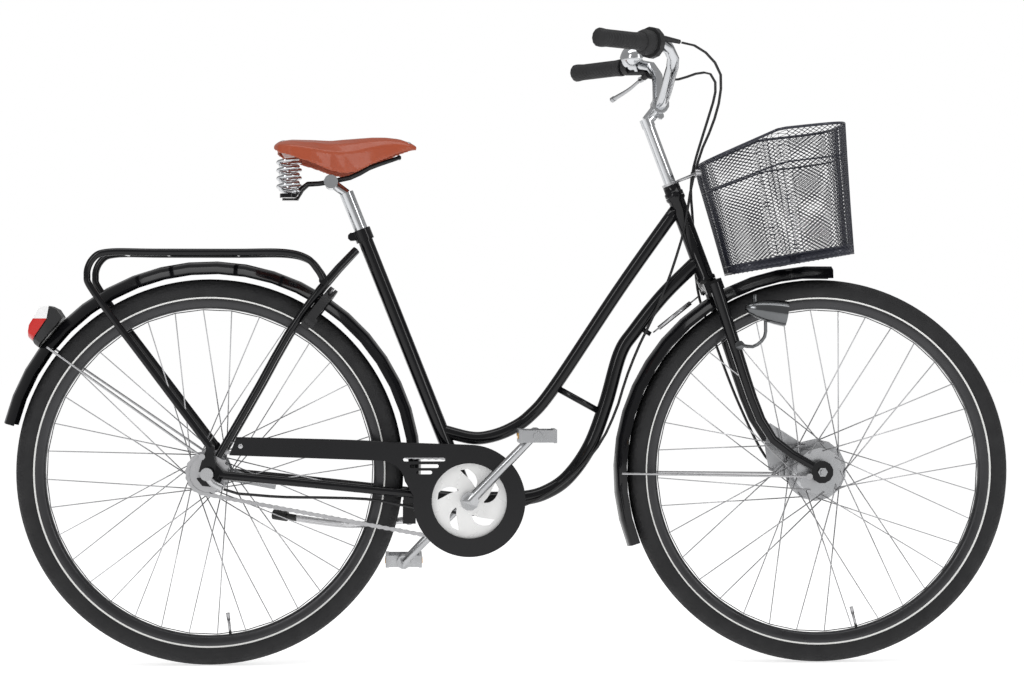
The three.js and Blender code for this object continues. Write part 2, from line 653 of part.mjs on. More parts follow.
// A point in the lock's plane: 0 degrees is its left side, 90 its top and 180 its right side.
function lockPoint(r, degrees, out = 0) {
  const a = THREE.MathUtils.degToRad(degrees);
  const p = LOCK_CENTRE.clone().addScaledVector(LOCK_DOWN, -r * Math.sin(a)).addScaledVector(LOCK_OUT, out);
  return p.setY(r * Math.cos(a));
}

function lockArc(rIn, rOut, from, to, half) {
  const steps = 12;
  const angles = Array.from({ length: steps + 1 }, (_, i) => from + ((to - from) * i) / steps);
  const edge = (r, out) => angles.map((a) => lockPoint(r, a, out));
  return loft([-half, half].map((out) => [...edge(rOut, out), ...edge(rIn, out).reverse()]));
}

function lockBody() {
  const barrel = rod(lockPoint(58, 190, -7), lockPoint(58, 190, 13), 10, 8);
  const tunnel = lockArc(SHACKLE_R - 5, SHACKLE_R + 5, -40, 220, 4.8);
  const knobSlot = lockArc(SHACKLE_R + 3, 70, -24, 131, 2);
  const body = join(lockArc(45.5, 62.5, -25, 205, 8), barrel);
  return cut(body, tunnel, knobSlot, seatStayHull(-1), seatStayHull(1));
}

function lockShackle() {
  const points = Array.from({ length: 13 }, (_, i) => lockPoint(SHACKLE_R, -20 + 12.5 * i));
  return join(bar(points, 3.8, 6, 14), lockArc(SHACKLE_R + 2, 74, 122, 128, 1.6));
}
add("ring_lock_body", lockBody(), PLASTIC);
add("lock_shackle", lockShackle(), STEEL);

// ---------- side stand ----------
function standLeg() {
  const p = STAND_PIVOT;
  const line = [v(-190, 44, 261), v(-240, 44, 254.5), v(-284, 46, 251.5), v(-350, 71, 256.5),
    v(-436, 105, 268)];
  const foot = rod(v(-410, 94.7, 264.5), v(-436, 105, 268), 10, 8);
  const eye = rod(v(p.x, 37, p.z), v(p.x, 51, p.z), 10.5, 10);
  return cut(join(bar(line, 6.5, 8, 10), eye, foot), rod(v(p.x, 20, p.z), v(p.x, 60, p.z), 5.5, 8));
}
add("kickstand_leg", standLeg(), ALLOY);

// ---------- fork ----------
const QUILL_R = 11.1;
const END = HEAD_LENGTH; // where the head tube stops, measured down the steering axis
const forkColumn = [
  [11.6, -22], [15.5, -22], [15.5, -9], [17.5, -8], [17.5, -0.5], [12.7, -0.5], [12.7, END + 0.5],
    [17.5, END + 0.5],
  [17.5, END + 8], [11.6, END + 8],
];

function bladeLine(side) {
  const low = [[413, 49, 585], [446, 50, 484], [462.6, 50, 444], [477, 51, 419], [501, 51, 398],
    [527, 52, 379.7], [556, 53, 364]];
  return [onSteer(174, 7, side * BLADE_Y), ...low.map(([x, y, z]) => v(x, side * y, z))];
}

function forkSide(side) {
  const blade = bar(bladeLine(side), (t) => 12.5 - 4.5 * t, 8, 9);
  return join(blade, rod(v(FRONT.x, side * 48.4, FRONT.z), v(FRONT.x, side * 54, FRONT.z), 21, 12));
}

function fork() {
  const column = turned(forkColumn, HEAD_TOP, steerDown, 14);
  const crown = block(onSteer(179, 4), 34, 96, 20, 20.6);
  const eye = rod(onSteer(180, -6), v(359, 0, 678), 3.5, 6);
  const axleRoom = rod(v(FRONT.x, -70, FRONT.z), v(FRONT.x, 70, FRONT.z), 5.3, 8);
  return cut(join(column, crown, forkSide(-1), forkSide(1), eye), axleRoom);
}
add("fork", fork(), BLACK);

// ---------- stem and handlebar ----------
// One half of the bar, from its end to the clamp.
const barHalf = (side) =>
  [
    [146, 290, 1118], [201, 235, 1119.5], [255, 181, 1121], [274, 163, 1118.5], [286, 150, 1109],
      [290, 141, 1094],
    [288, 108, 1074], [284, 62, 1046], [280.5, 30, 1029.5], [280, 14, 1028],
  ].map(([x, y, z]) => v(x, side * y, z));
const handlebar = (r) => bar([...barHalf(-1), ...barHalf(1).reverse()], r, 8, 32);
const barRoom = handlebar(BAR_R + GAP);

// The grips, levers and bell sit on the bar's straight end, measured inwards from its tip.
const gripEnd = (side) => v(146, side * 290, 1118);
const gripDir = (side) => v(0.7068, -side * 0.7068, 0.0195).normalize();
const onGrip = (side, along) => gripEnd(side).addScaledVector(gripDir(side), along);
const sleeve = (side, profile) => turned(profile, gripEnd(side), gripDir(side), 12);
const bandOn = (side, from, to, r) => sleeve(side, ring(12, r, from, to));

function stem() {
  const elbow = onSteer(-147.6);
  const quill = rod(onSteer(60), elbow, QUILL_R, 18);
  const corner = rod(onSteer(-136), onSteer(-153), 12.4, 12);
  const arm = rod(elbow, CLAMP, 11.5, 8);
  const drum = rod(v(CLAMP.x, -21, CLAMP.z), v(CLAMP.x, 21, CLAMP.z), 16, 12);
  const bolt = rod(v(CLAMP.x + 1, -9, CLAMP.z - 20), v(CLAMP.x + 1, 9, CLAMP.z - 20), 6.5, 8);
  return cut(join(quill, corner, arm, drum, bolt), barRoom);
}
function grip(side, length) {
  const half = 0.15 * length;
  return sleeve(side, [
    [0, -5], [13, -5], [16.8, -1], [16.8, 6], [15.6, half], [15.6, length - half], [16.8, length - 5],
      [16.8, length],
    [12, length], [12, -0.5], [0, -0.5],
  ]);
}
add("stem", stem(), CHROME);
add("handlebar", handlebar(BAR_R), CHROME);
add("left_grip", grip(1, 118.8), RUBBER);
add("right_grip", grip(-1, 112), RUBBER);
add("twist_grip", sleeve(-1, [[12, 113], [18, 113], [22.5, 118], [22.5, 134], [12, 134]]), RUBBER);

function shifterHousing() {
  const drum = sleeve(-1, [[12, 134.6], [28, 134.6], [28, 146], [22, 152], [12, 152]]);
  const ferrule = bar([onGrip(-1, 142).add(v(8, 8, 12)), v(299.5, -161.5, 1126)], (t) => 6 - 2 * t, 8, 2);
  return cut(join(drum, ferrule), barRoom);
}
add("shifter_housing", shifterHousing(), PLASTIC);

// ---------- brake lever and bell ----------
const LEVER_PIVOT = v(262, 176, 1094);
const LEVER_DIR = v(-0.527, 0.774, -0.348).normalize();
const LEVER_AXIS = v(0.72, 0.62, 0.31).normalize();
const onLever = (along, across = 0) =>
  LEVER_PIVOT.clone().addScaledVector(LEVER_DIR, along).addScaledVector(LEVER_AXIS, across);

function leverMount() {
  const strut = rod(v(235, 201, 1110), v(270, 164, 1107), 6);
  const body = rod(onLever(-22), onLever(-9.5), 6.5);
  const neck = rod(v(269, 165, 1106), onLever(-16), 5.5, 6);
  const adjuster = rod(v(271, 163, 1099), v(284, 167, 1097), 3.6, 6);
  const ears = [-1, 1].map((s) => rod(onLever(-12, 5 * s), onLever(2, 5 * s), 1.7, 4));
  const pin = rod(onLever(0, -6), onLever(0, 6), 2.2, 6);
  const solidMount = join(bandOn(1, 124, 136, 15.5), strut, body, neck, adjuster, ...ears, pin);
  return cut(solidMount, barRoom, sleeve(1, disc(14.8, 154.5, 162.5)));
}

function brakeLever() {
  const tip = v(215, 245, 1063);
  const bore = rod(onLever(0, -20), onLever(0, 20), 2.6, 6);
  const blade = bar([onLever(3), onLever(38).add(v(0, 0, -3)), tip], (t) => 3 + 1.6 * t, 8, 6);
  const knob = rod(tip.clone().addScaledVector(LEVER_DIR, -3), tip.clone().addScaledVector(LEVER_DIR, 5),
    5.6, 8);
  return cut(join(rod(onLever(0, -3), onLever(0, 3), 6, 8), blade, knob), bore);
}
add("brake_lever_mount", leverMount(), PLASTIC);
add("brake_lever", brakeLever(), ALLOY);

const BELL_BASE = v(258, 178, 1121);
const BELL_UP = v(-0.547, -0.514, 0.66).normalize();
const bellTurned = (profile, segments) => turned(profile, BELL_BASE, BELL_UP, segments);
function bell() {
  const dome = [[0, 22], [22, 22], [25, 20], [25, 25], [22, 34], [14, 41], [0, 44]];
  return join(bandOn(1, 155, 162, 14.4), bellTurned(disc(4, 12.5, 24), 10), bellTurned(dome, 16));
}
const BELL_SIDE = BELL_UP.clone().cross(gripDir(1)).normalize();
function bellLever() {
  const near = BELL_BASE.clone().addScaledVector(BELL_UP, 17);
  const at = (out) => near.clone().addScaledVector(BELL_SIDE, out);
  return join(bellTurned(ring(4.5, 8, 15.8, 18.2), 12), rod(at(6.5), at(31), 1.1, 6), rod(at(29), at(35),
    4, 6));
}
add("bell_dome", bell(), CHROME);
add("bell_lever", bellLever(), CHROME);

// ---------- headlight ----------
const LAMP_BACK = v(428, -75, 654);
const LAMP_DIR = v(76, 0, -12).normalize();
const lampTurned = (profile) => turned(profile, LAMP_BACK, LAMP_DIR, 16);
const onLamp = (along, up) => LAMP_BACK.clone().addScaledVector(LAMP_DIR, along).add(v(0, 0, up));
const lampOutline = [[0, 0], [4.5, 1], [9.5, 8], [15.5, 22], [20, 40], [22.5, 58], [23.5, 70], [23.5, 77]];
function headlightShell() {
  const knob = rod(onLamp(18, 10), onLamp(18, 26), 4.5, 8);
  const line = [onLamp(38, -18), v(464, -72, 600), v(445, -66, 583), v(424, -63, 585)];
  const tab = rod(v(420, -61.8, 585), v(420, -65, 585), 9, 8);
  return join(lampTurned([...lampOutline, [21.2, 77], [21.2, 68],
    [0, 68]]), knob, bar(line, 3.2, 8, 8), tab);
}
add("headlight_shell", headlightShell(), CHROME);
add("headlight_lens", lampTurned([[0, 70], [20.6, 70], [20.6, 73.5], [12, 76], [0, 77]]), CLEAR);

// ---------- basket ----------
const BASKET_LEAN = THREE.MathUtils.degToRad(9.6);
const BASKET_ROWS = [[0, 0, 231, 104], [90, -9, 238, 118], [180, -19, 246, 130], [300, -26, 258, 142]];
const inBasket = (u, y, w) =>
  v(
    406 + u * Math.cos(BASKET_LEAN) - w * Math.sin(BASKET_LEAN), y,
    714 + u * Math.sin(BASKET_LEAN) + w * Math.cos(BASKET_LEAN),
  );

// A rounded rectangle at height w, drawn in by inset on every side.
function basketRing([w, u0, u1, half], inset) {
  const count = 20;
  const squared = (c) => Math.sign(c) * Math.abs(c) ** 0.45;
  return Array.from({ length: count }, (_, i) => {
    const a = (2 * Math.PI * (i + 0.5)) / count;
    const fore = (u0 + u1) / 2 + ((u1 - u0) / 2 - inset) * squared(Math.cos(a));
    return inBasket(fore, (half - inset) * squared(Math.sin(a)), w);
  });
}

function basket() {
  const wall = 2.5;
  const outer = loft(BASKET_ROWS.map((row) => basketRing(row, 0)));
  const inner = loft(BASKET_ROWS.map((row) => basketRing([row[0] + wall, ...row.slice(1)], wall)));
  const top = [[250, 880], [330, 910], [359, 922.4], [483, 976.7], [615, 991.6], [720, 1003],
    [720, 1200], [250, 1200]];
  return cut(outer, inner, plate(top, -200, 200));
}
add("basket", basket(), BASKET);

function basketBracket() {
  const collar = turned(ring(11.8, 16, -26.5, -22.6), HEAD_TOP, steerDown, 16);
  const arms = [-1, 1].flatMap((s) => [
    rod(onSteer(-24.5, 14, s * 6), v(348, s * 38, 902), 2.6, 6),
    rod(v(342, s * 38, 902), v(352, s * 38, 902), 6, 8),
  ]);
  return join(collar, ...arms);
}
add("basket_bracket", basketBracket(), STEEL);

// ---------- brake cam, steering spring and cables ----------
function camArm() {
  const outline = [[541, 331], [548, 338], [541, 345], [506, 355], [500, 350], [504, 345]];
  return plate(outline, 40.2, 43.4);
}
add("brake_cam_arm", camArm(), STEEL);

function damperSpring() {
  const [low, high] = [v(278, 0, 616.5), v(337, 0, 663.5)];
  return join(rod(low, high, 4.3, 8), rod(v(268, 0, 608.5), low, 1.5, 6), rod(high, v(352, 0, 675.3),
    1.5, 6));
}
add("damper_spring", damperSpring(), STEEL);

const CABLE_R = 2.5;
const brakeCable = [
  v(286, 167.6, 1096.7), v(297, 165, 1095), v(308, 152, 1092), v(318, 136, 1089.5), v(335, 118, 1090),
  v(353, 100, 1096), v(372, 80, 1097.7), v(382.5, 60, 1092), v(390, 50, 1074), v(387, 40, 1050),
    v(374, 32, 1008),
  v(357, 27, 955), v(346, 23, 918), v(341, 21, 890), v(340, 20, 868), v(344, 25, 820), v(347, 33, 765),
  v(353, 48, 712), v(358, 57, 684), v(366, 62, 655), v(379, 63, 622),
  v(432, 60, 482), v(480.8, 52, 381), v(497, 46, 362),
];
const shiftCable = [
  v(303.4, -160, 1125), v(332.6, -140, 1120.4), v(360.2, -120, 1103), v(379, -100, 1080),
    v(382.8, -85, 1060),
  v(382.9, -70, 1036), v(372, -50, 989), v(352, -32, 938), v(344, -26, 908), v(337, -23, 882),
    v(327, -20, 820), v(321, -18, 789),
  v(297, -18, 713), v(280.5, -18, 671), v(262, -18, 629), v(241.8, -17.5, 588), v(216, -17.5, 524),
  v(199.4, -17.5, 470.7), v(168, -17.5, 404.6), v(114, -18, 343), v(77, -18, 315), v(40, -20, 296),
    v(0, -24, 284),
  v(-40, -28, 277), v(-73, -32, 275), v(-110, -36, 282), v(-176, -37, 290), v(-250, -40, 304),
    v(-326, -45, 308),
  v(-416, -50, 310), v(-470, -60, 315), v(-495, -70, 318), v(-516, -81, 326),
];
add("brake_cable", bar(brakeCable, CABLE_R, 4, 44), PLASTIC);
add("shift_cable", bar(shiftCable, CABLE_R, 4, 54), PLASTIC);

// ---------- seatpost and saddle ----------
const RAIL_R = 3.5;
const railLine = (side) =>
  [
    [-408, 45, 857.5], [-386, 45, 857.5], [-375.6, 30, 878], [-341, 22, 882.4], [-308.5, 22, 889],
      [-283, 22, 895.4],
    [-257.5, 20, 910], [-201, 8, 929.6],
  ].map(([x, y, z]) => v(x, side * y, z));
const rail = (side, r) => bar(railLine(side), r, 6, 12);

function seatpost() {
  const post = rod(onSeat(358), onSeat(606), POST_R, 14);
  const arm = rod(onSeat(604), v(-325, 0, 884), 9, 8);
  const drum = rod(v(-325, -30, 884), v(-325, 30, 884), 13, 12);
  return cut(join(post, arm, drum), rail(-1, RAIL_R + GAP), rail(1, RAIL_R + GAP));
}

function saddleRails() {
  const nose = rod(v(-201, -10, 929.6), v(-201, 10, 929.6), 4.5, 8);
  const pads = [-1, 1].map((s) => rod(v(-402, s * 46, 853), v(-402, s * 46, 860.5), 15, 10));
  return join(rail(-1, RAIL_R), rail(1, RAIL_R), nose, ...pads);
}

// Each row of the leather: X, half width, height of the crown and height of the skirt's edge.
const SADDLE_ROWS = [
  [-428, 70, 950, 938], [-418, 90, 958, 932], [-395, 102, 961, 925], [-360, 98, 961, 914],
    [-325, 82, 960.5, 900],
  [-300, 68, 963, 895], [-275, 54, 965, 900], [-250, 42, 967, 914], [-225, 33, 967, 925],
    [-200, 26, 964, 936],
  [-180, 19, 957, 942], [-168, 10, 950, 944],
];
function saddleRow([x, half, top, edge], inset) {
  const count = 8;
  return Array.from({ length: count + 1 }, (_, i) => {
    const a = (Math.PI * i) / count;
    const across = Math.cos(a) * (half - inset);
    const rise = Math.sin(a) ** 0.55;
    return v(x, across, edge + (top - inset - edge) * rise);
  });
}
function saddleLeather() {
  const skin = loft(SADDLE_ROWS.map((row) => [...saddleRow(row, 0), ...saddleRow(row, 4.5).reverse()]));
  const cantle = common(block(v(-402, 0, 935), 28, 199, 6),
    loft(SADDLE_ROWS.map((row) => saddleRow(row, 1))));
  return join(skin, cantle);
}

function saddleSpring(side) {
  const turns = 4;
  const perTurn = 8;
  const points = Array.from({ length: turns * perTurn + 1 }, (_, i) => {
    const a = (2 * Math.PI * i) / perTurn;
    const z = 864.2 + (61 * i) / (turns * perTurn);
    return v(-402 + 19 * Math.cos(a), side * (46 + 19 * Math.sin(a)), z);
  });
  return bar(points, 2.6, 4, turns * perTurn);
}
add("seatpost", seatpost(), CHROME);
add("saddle_rails", saddleRails(), BLACK);
add("saddle_leather", saddleLeather(), LEATHER);
add("saddle_spring_left", saddleSpring(1), CHROME);
add("saddle_spring_right", saddleSpring(-1), CHROME);

export default bicycle;
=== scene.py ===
import json
import math

import bpy
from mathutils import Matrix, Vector
from mathutils.bvhtree import BVHTree


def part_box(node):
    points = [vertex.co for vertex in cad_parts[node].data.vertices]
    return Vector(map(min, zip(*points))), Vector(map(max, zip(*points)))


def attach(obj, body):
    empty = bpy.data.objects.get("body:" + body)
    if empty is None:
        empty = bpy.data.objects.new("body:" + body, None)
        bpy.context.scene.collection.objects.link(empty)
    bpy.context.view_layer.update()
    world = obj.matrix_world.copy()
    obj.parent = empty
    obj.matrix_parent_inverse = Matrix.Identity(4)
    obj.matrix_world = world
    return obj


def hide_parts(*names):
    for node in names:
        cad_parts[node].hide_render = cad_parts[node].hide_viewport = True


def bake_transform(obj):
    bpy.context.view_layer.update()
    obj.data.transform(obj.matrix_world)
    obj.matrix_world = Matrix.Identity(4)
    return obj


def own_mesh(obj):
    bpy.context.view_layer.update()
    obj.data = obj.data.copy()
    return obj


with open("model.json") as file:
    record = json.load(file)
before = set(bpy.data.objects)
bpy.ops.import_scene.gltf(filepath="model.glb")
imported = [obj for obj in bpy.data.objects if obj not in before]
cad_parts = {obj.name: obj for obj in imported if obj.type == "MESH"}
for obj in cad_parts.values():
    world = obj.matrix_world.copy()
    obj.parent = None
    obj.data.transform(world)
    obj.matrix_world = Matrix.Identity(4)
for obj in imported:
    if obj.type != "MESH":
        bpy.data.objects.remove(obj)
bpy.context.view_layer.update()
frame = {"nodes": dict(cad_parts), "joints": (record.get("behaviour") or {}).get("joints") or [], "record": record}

MM = 0.001
JOINTS = {j["name"]: j for j in frame["joints"]}
REAR = Vector(JOINTS["rear_wheel_spin"]["pos_m"])
FRONT = Vector(JOINTS["front_wheel_spin"]["pos_m"])
CRANK = Vector(JOINTS["crank_spin"]["pos_m"])
SHIFT = -2.4 * MM  # the part's own shift, which centres it on the origin
STRIPE_R = 318.5 * MM
PITCH = 12.7 * MM
RING_TEETH = 38
COG_TEETH = 19
CHAIN_Y = -44 * MM
SHARP = math.radians(65)


# ---------- materials ----------
def new_material(name):
    """A material with one Principled shader, its node tree, the shader and object coordinates."""
    made = bpy.data.materials.new(name)
    made.use_nodes = True
    tree = made.node_tree
    shader = tree.nodes["Principled BSDF"]
    coords = tree.nodes.new("ShaderNodeTexCoord").outputs["Object"]
    return made, tree, shader, coords


def node(tree, kind, **values):
    """A node of that kind, with its inputs and properties set by name."""
    made = tree.nodes.new("ShaderNode" + kind)
    for key, value in values.items():
        if key in made.inputs:
            made.inputs[key].default_value = value
        else:
            setattr(made, key, value)
    return made


def maths(tree, operation, a, b=0.0):
    """The output of one Math node. Each input is a number or another node's output."""
    made = node(tree, "Math", operation=operation)
    for socket, value in zip(made.inputs, (a, b)):
        if isinstance(value, (int, float)):
            socket.default_value = value
        else:
            tree.links.new(value, socket)
    return made.outputs[0]


def noise(tree, coords, scale, detail=4.0, stretch=(1, 1, 1)):
    mapping = node(tree, "Mapping", Scale=stretch)
    tree.links.new(coords, mapping.inputs["Vector"])
    made = node(tree, "TexNoise", Scale=scale, Detail=detail)
    tree.links.new(mapping.outputs[0], made.inputs["Vector"])
    return made.outputs["Fac"]


def between(tree, factor, low, high):
    made = node(tree, "MapRange", **{"From Min": 0.3, "From Max": 0.7, "To Min": low, "To Max": high})
    tree.links.new(factor, made.inputs["Value"])
    return made.outputs[0]


def blended(tree, factor, a, b):
    """Colour a at factor 0 and b at factor 1. Each is a colour or another node's output."""
    made = node(tree, "Mix", data_type="RGBA")
    tree.links.new(factor, made.inputs[0])
    for socket, value in zip((made.inputs[6], made.inputs[7]), (a, b)):
        if isinstance(value, tuple):
            socket.default_value = (*value, 1)
        else:
            tree.links.new(value, socket)
    return made.outputs[2]


def bumped(tree, shader, height, strength, depth):
    made = node(tree, "Bump", Strength=strength, Distance=depth)
    tree.links.new(height, made.inputs["Height"])
    tree.links.new(made.outputs[0], shader.inputs["Normal"])


def surface(name, light, dark, rough, metal=0.0, coat=0.0, grain=400, strength=0.1, stretch=(1, 1, 1)):
    """The shared base: mottled colour, uneven roughness and a fine bump."""
    made, tree, shader, coords = new_material(name)
    shader.inputs["Metallic"].default_value = metal
    shader.inputs["Coat Weight"].default_value = coat
    shader.inputs["Coat Roughness"].default_value = 0.06
    shader.inputs["Specular IOR Level"].default_value = 0.5 if metal else 0.3
    broad = noise(tree, coords, 9)
    fine = noise(tree, coords, grain, stretch=stretch)
    colour = blended(tree, broad, dark, light)
    tree.links.new(colour, shader.inputs["Base Color"])
    tree.links.new(between(tree, noise(tree, coords, 35), *rough), shader.inputs["Roughness"])
    bumped(tree, shader, fine, strength, 0.2 * MM)
    return made, tree, shader, coords, colour


def enamel():
    light, dark = (0.006, 0.006, 0.007), (0.003, 0.003, 0.004)
    made, _, shader, _, _ = surface("black_enamel", light, dark, (0.1, 0.18), coat=0.25, strength=0.03)
    shader.inputs["Specular IOR Level"].default_value = 0.15
    return made


def chrome():
    return surface("chrome", (0.62, 0.63, 0.64), (0.46, 0.47, 0.49), (0.06, 0.16), metal=1, strength=0.02)[0]


def dark_chrome():
    light, dark = (0.16, 0.165, 0.17), (0.08, 0.082, 0.085)
    return surface("dark_chrome", light, dark, (0.06, 0.15), metal=1, strength=0.02)[0]


def alloy():
    stretch = (1, 1, 8)
    return surface("alloy", (0.5, 0.5, 0.51), (0.33, 0.34, 0.35), (0.2, 0.36), metal=1, stretch=stretch)[0]


def steel():
    return surface("steel", (0.52, 0.52, 0.53), (0.34, 0.34, 0.35), (0.24, 0.42), metal=1, strength=0.15)[0]


def rim_metal():
    return surface("rim", (0.06, 0.06, 0.063), (0.04, 0.04, 0.042), (0.25, 0.4), metal=0.85)[0]


def plastic():
    return surface(
        "black_plastic", (0.022, 0.022, 0.023), (0.013, 0.013, 0.014), (0.35, 0.55), grain=900, strength=0.2)[0]


def ring_paint():
    return surface("ring_white", (0.84, 0.84, 0.83), (0.72, 0.72, 0.72), (0.2, 0.35), metal=0.2, coat=0.4)[0]


def coated_wire():
    light, dark = (0.02, 0.022, 0.036), (0.01, 0.011, 0.02)
    return surface("basket_mesh", light, dark, (0.25, 0.45), metal=0.3, coat=0.3)[0]


def clear_lens():
    made, tree, shader, coords, _ = surface("clear_lens", (0.95, 0.96, 0.97), (0.86, 0.88, 0.9), (0.04, 0.1))
    shader.inputs["Transmission Weight"].default_value = 0.7
    ribs = node(tree, "TexWave", Scale=60.0, bands_direction="Y")
    tree.links.new(coords, ribs.inputs["Vector"])
    bumped(tree, shader, ribs.outputs["Fac"], 0.5, 0.6 * MM)
    return made


def reflector(name, light, dark):
    """A moulded reflector: a grid of small prisms under a smooth face."""
    made, tree, shader, coords, _ = surface(name, light, dark, (0.08, 0.16), coat=0.8)
    cells = node(tree, "TexVoronoi", Scale=420.0)
    tree.links.new(coords, cells.inputs["Vector"])
    bumped(tree, shader, cells.outputs["Distance"], 0.6, 0.5 * MM)
    return made


def axis_distance(tree, coords, centre):
    """How far a point is from the line through centre along Y."""
    parts = node(tree, "SeparateXYZ")
    tree.links.new(coords, parts.inputs[0])
    dx = maths(tree, "SUBTRACT", parts.outputs[0], centre.x)
    dz = maths(tree, "SUBTRACT", parts.outputs[2], centre.z)
    squares = maths(tree, "ADD", maths(tree, "MULTIPLY", dx, dx), maths(tree, "MULTIPLY", dz, dz))
    return maths(tree, "SQRT", squares)


def tyre_rubber(name, centre):
    """Dark rubber with one thin reflective stripe on each side and a blocky tread."""
    made, tree, shader, coords, colour = surface(
        name, (0.02, 0.02, 0.021), (0.011, 0.011, 0.012), (0.6, 0.8), grain=700, strength=0.3)
    reach = axis_distance(tree, coords, centre)
    stripe = maths(tree, "COMPARE", reach, STRIPE_R)
    stripe.node.inputs[2].default_value = 1.7 * MM
    tree.links.new(blended(tree, stripe, colour, (0.82, 0.82, 0.8)), shader.inputs["Base Color"])
    tread = node(tree, "TexVoronoi", Scale=130.0, distance="MANHATTAN")
    tree.links.new(coords, tread.inputs["Vector"])
    crown = maths(tree, "GREATER_THAN", reach, 338 * MM)
    bumped(tree, shader, maths(tree, "MULTIPLY", tread.outputs["Distance"], crown), 0.8, 1.2 * MM)
    return made


def ribbed_rubber():
    """Grip rubber, ribbed round the bar."""
    light, dark = (0.026, 0.026, 0.027), (0.014, 0.014, 0.015)
    made, tree, shader, coords, _ = surface("rubber", light, dark, (0.55, 0.75))
    ribs = node(tree, "TexWave", Scale=55.0, bands_direction="Y")
    tree.links.new(coords, ribs.inputs["Vector"])
    bumped(tree, shader, ribs.outputs["Fac"], 0.6, 0.8 * MM)
    return made


def leather():
    """Waxed tan leather: mottled colour, pebbled grain and fine creases."""
    made, tree, shader, coords, colour = surface(
        "saddle_leather", (0.42, 0.085, 0.032), (0.27, 0.047, 0.018), (0.3, 0.48), coat=0.2)
    pebbles = node(tree, "TexVoronoi", Scale=520.0)
    tree.links.new(coords, pebbles.inputs["Vector"])
    creases = noise(tree, coords, 60, detail=8, stretch=(1, 3, 1))
    tree.links.new(blended(tree, creases, colour, (0.34, 0.062, 0.024)), shader.inputs["Base Color"])
    height = maths(tree, "ADD", maths(tree, "MULTIPLY", pebbles.outputs["Distance"], 0.6), creases)
    bumped(tree, shader, height, 0.35, 0.5 * MM)
    return made


def split_at(name, axis, place, below, above, rough):
    """Two colours on one piece that meet at a place along axis (0 is X, 2 is Z)."""
    made, tree, shader, coords, _ = surface(name, above, tuple(0.8 * c for c in above), rough)
    parts = node(tree, "SeparateXYZ")
    tree.links.new(coords, parts.inputs[0])
    past = maths(tree, "GREATER_THAN", parts.outputs[axis], place)
    tree.links.new(blended(tree, past, below, above), shader.inputs["Base Color"])
    return made, tree, shader, past


def stand_finish():
    """Silver leg whose free end is a black rubber foot."""
    foot, leg = (0.015, 0.015, 0.015), (0.55, 0.55, 0.56)
    made, tree, shader, past = split_at("stand", 0, -395 * MM, foot, leg, (0.25, 0.45))
    tree.links.new(past, shader.inputs["Metallic"])
    return made


def tail_lens():
    """Clear lens above, red below."""
    return split_at("red_lens", 2, 634 * MM, (0.5, 0.015, 0.012), (0.8, 0.8, 0.8), (0.06, 0.14))[0]


def pale_floor():
    """Pale studio floor, lit a little from below so that it stays even to the horizon."""
    made, _, shader, _, _ = surface("floor", (0.93, 0.93, 0.93), (0.91, 0.91, 0.91), (0.7, 0.9), strength=0.02)
    shader.inputs["Emission Color"].default_value = (1, 1, 1, 1)
    shader.inputs["Emission Strength"].default_value = 0.62
    return made


FINISH = {
    "black_enamel": enamel(), "chrome": chrome(), "alloy": alloy(), "steel": steel(),
    "rubber": ribbed_rubber(), "rim": rim_metal(), "black_plastic": plastic(), "saddle_leather": leather(),
    "ring_white": ring_paint(), "basket_mesh": coated_wire(),
    "red_lens": tail_lens(), "clear_lens": clear_lens(),
}
NODE_FINISH = {
    "front_tyre": tyre_rubber("front_tyre_rubber", FRONT),
    "rear_tyre": tyre_rubber("rear_tyre_rubber", REAR),
    "kickstand_leg": stand_finish(),
    "headlight_shell": dark_chrome(),
}
AMBER = reflector("amber_reflector", (0.85, 0.45, 0.04), (0.7, 0.33, 0.02))
WHITE_REFLECTOR = reflector("white_reflector", (0.85, 0.86, 0.88), (0.7, 0.72, 0.74))


# ---------- the carried CAD pieces ----------
def smoothing_group():
    """Joins the facets and shades them smooth, in the shown copy. The CAD mesh itself stays as packed."""
    group = bpy.data.node_groups.new("smoothed", "GeometryNodeTree")
    group.interface.new_socket("Geometry", in_out="INPUT", socket_type="NodeSocketGeometry")
    group.interface.new_socket("Geometry", in_out="OUTPUT", socket_type="NodeSocketGeometry")
    steps = [group.nodes.new(kind) for kind in (
        "NodeGroupInput", "GeometryNodeRemoveAttribute", "GeometryNodeMergeByDistance",
        "GeometryNodeSetShadeSmooth", "GeometryNodeSetShadeSmooth", "NodeGroupOutput")]
    steps[1].inputs["Name"].default_value = "custom_normal"
    steps[2].inputs["Distance"].default_value = 0.01 * MM
    steps[3].domain, steps[4].domain = "FACE", "EDGE"
    for before, after in zip(steps, steps[1:]):
        group.links.new(before.outputs["Geometry"], after.inputs["Geometry"])
    return group


SMOOTHED = smoothing_group()


def dress(name, cad, finish):
    """Gives a CAD node its finish, and rounds and smooths its edges with modifiers only."""
    for index in range(max(1, len(cad.material_slots))):
        if not cad.material_slots:
            cad.data.materials.append(None)
        cad.material_slots[index].link = "OBJECT"
        cad.material_slots[index].material = finish
    cad.modifiers.new("smooth", "NODES").node_group = SMOOTHED
    if name.endswith("_cable") or name.endswith("_spokes"):
        return
    edge = cad.modifiers.new("edge", "BEVEL")
    edge.width = 0.35 * MM
    edge.segments = 2
    edge.limit_method = "ANGLE"
    edge.angle_limit = SHARP
    edge.harden_normals = True


# ---------- mesh helpers ----------
def piece(name, points, faces, body, finish, slot=None, smooth=True):
    mesh = bpy.data.meshes.new(name)
    mesh.from_pydata([tuple(p) for p in points], [], faces)
    mesh.update()
    mesh.polygons.foreach_set("use_smooth", [smooth] * len(mesh.polygons))
    made = bpy.data.objects.new(name, mesh)
    bpy.context.scene.collection.objects.link(made)
    made.data.materials.append(finish)
    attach(made, body)
    return made


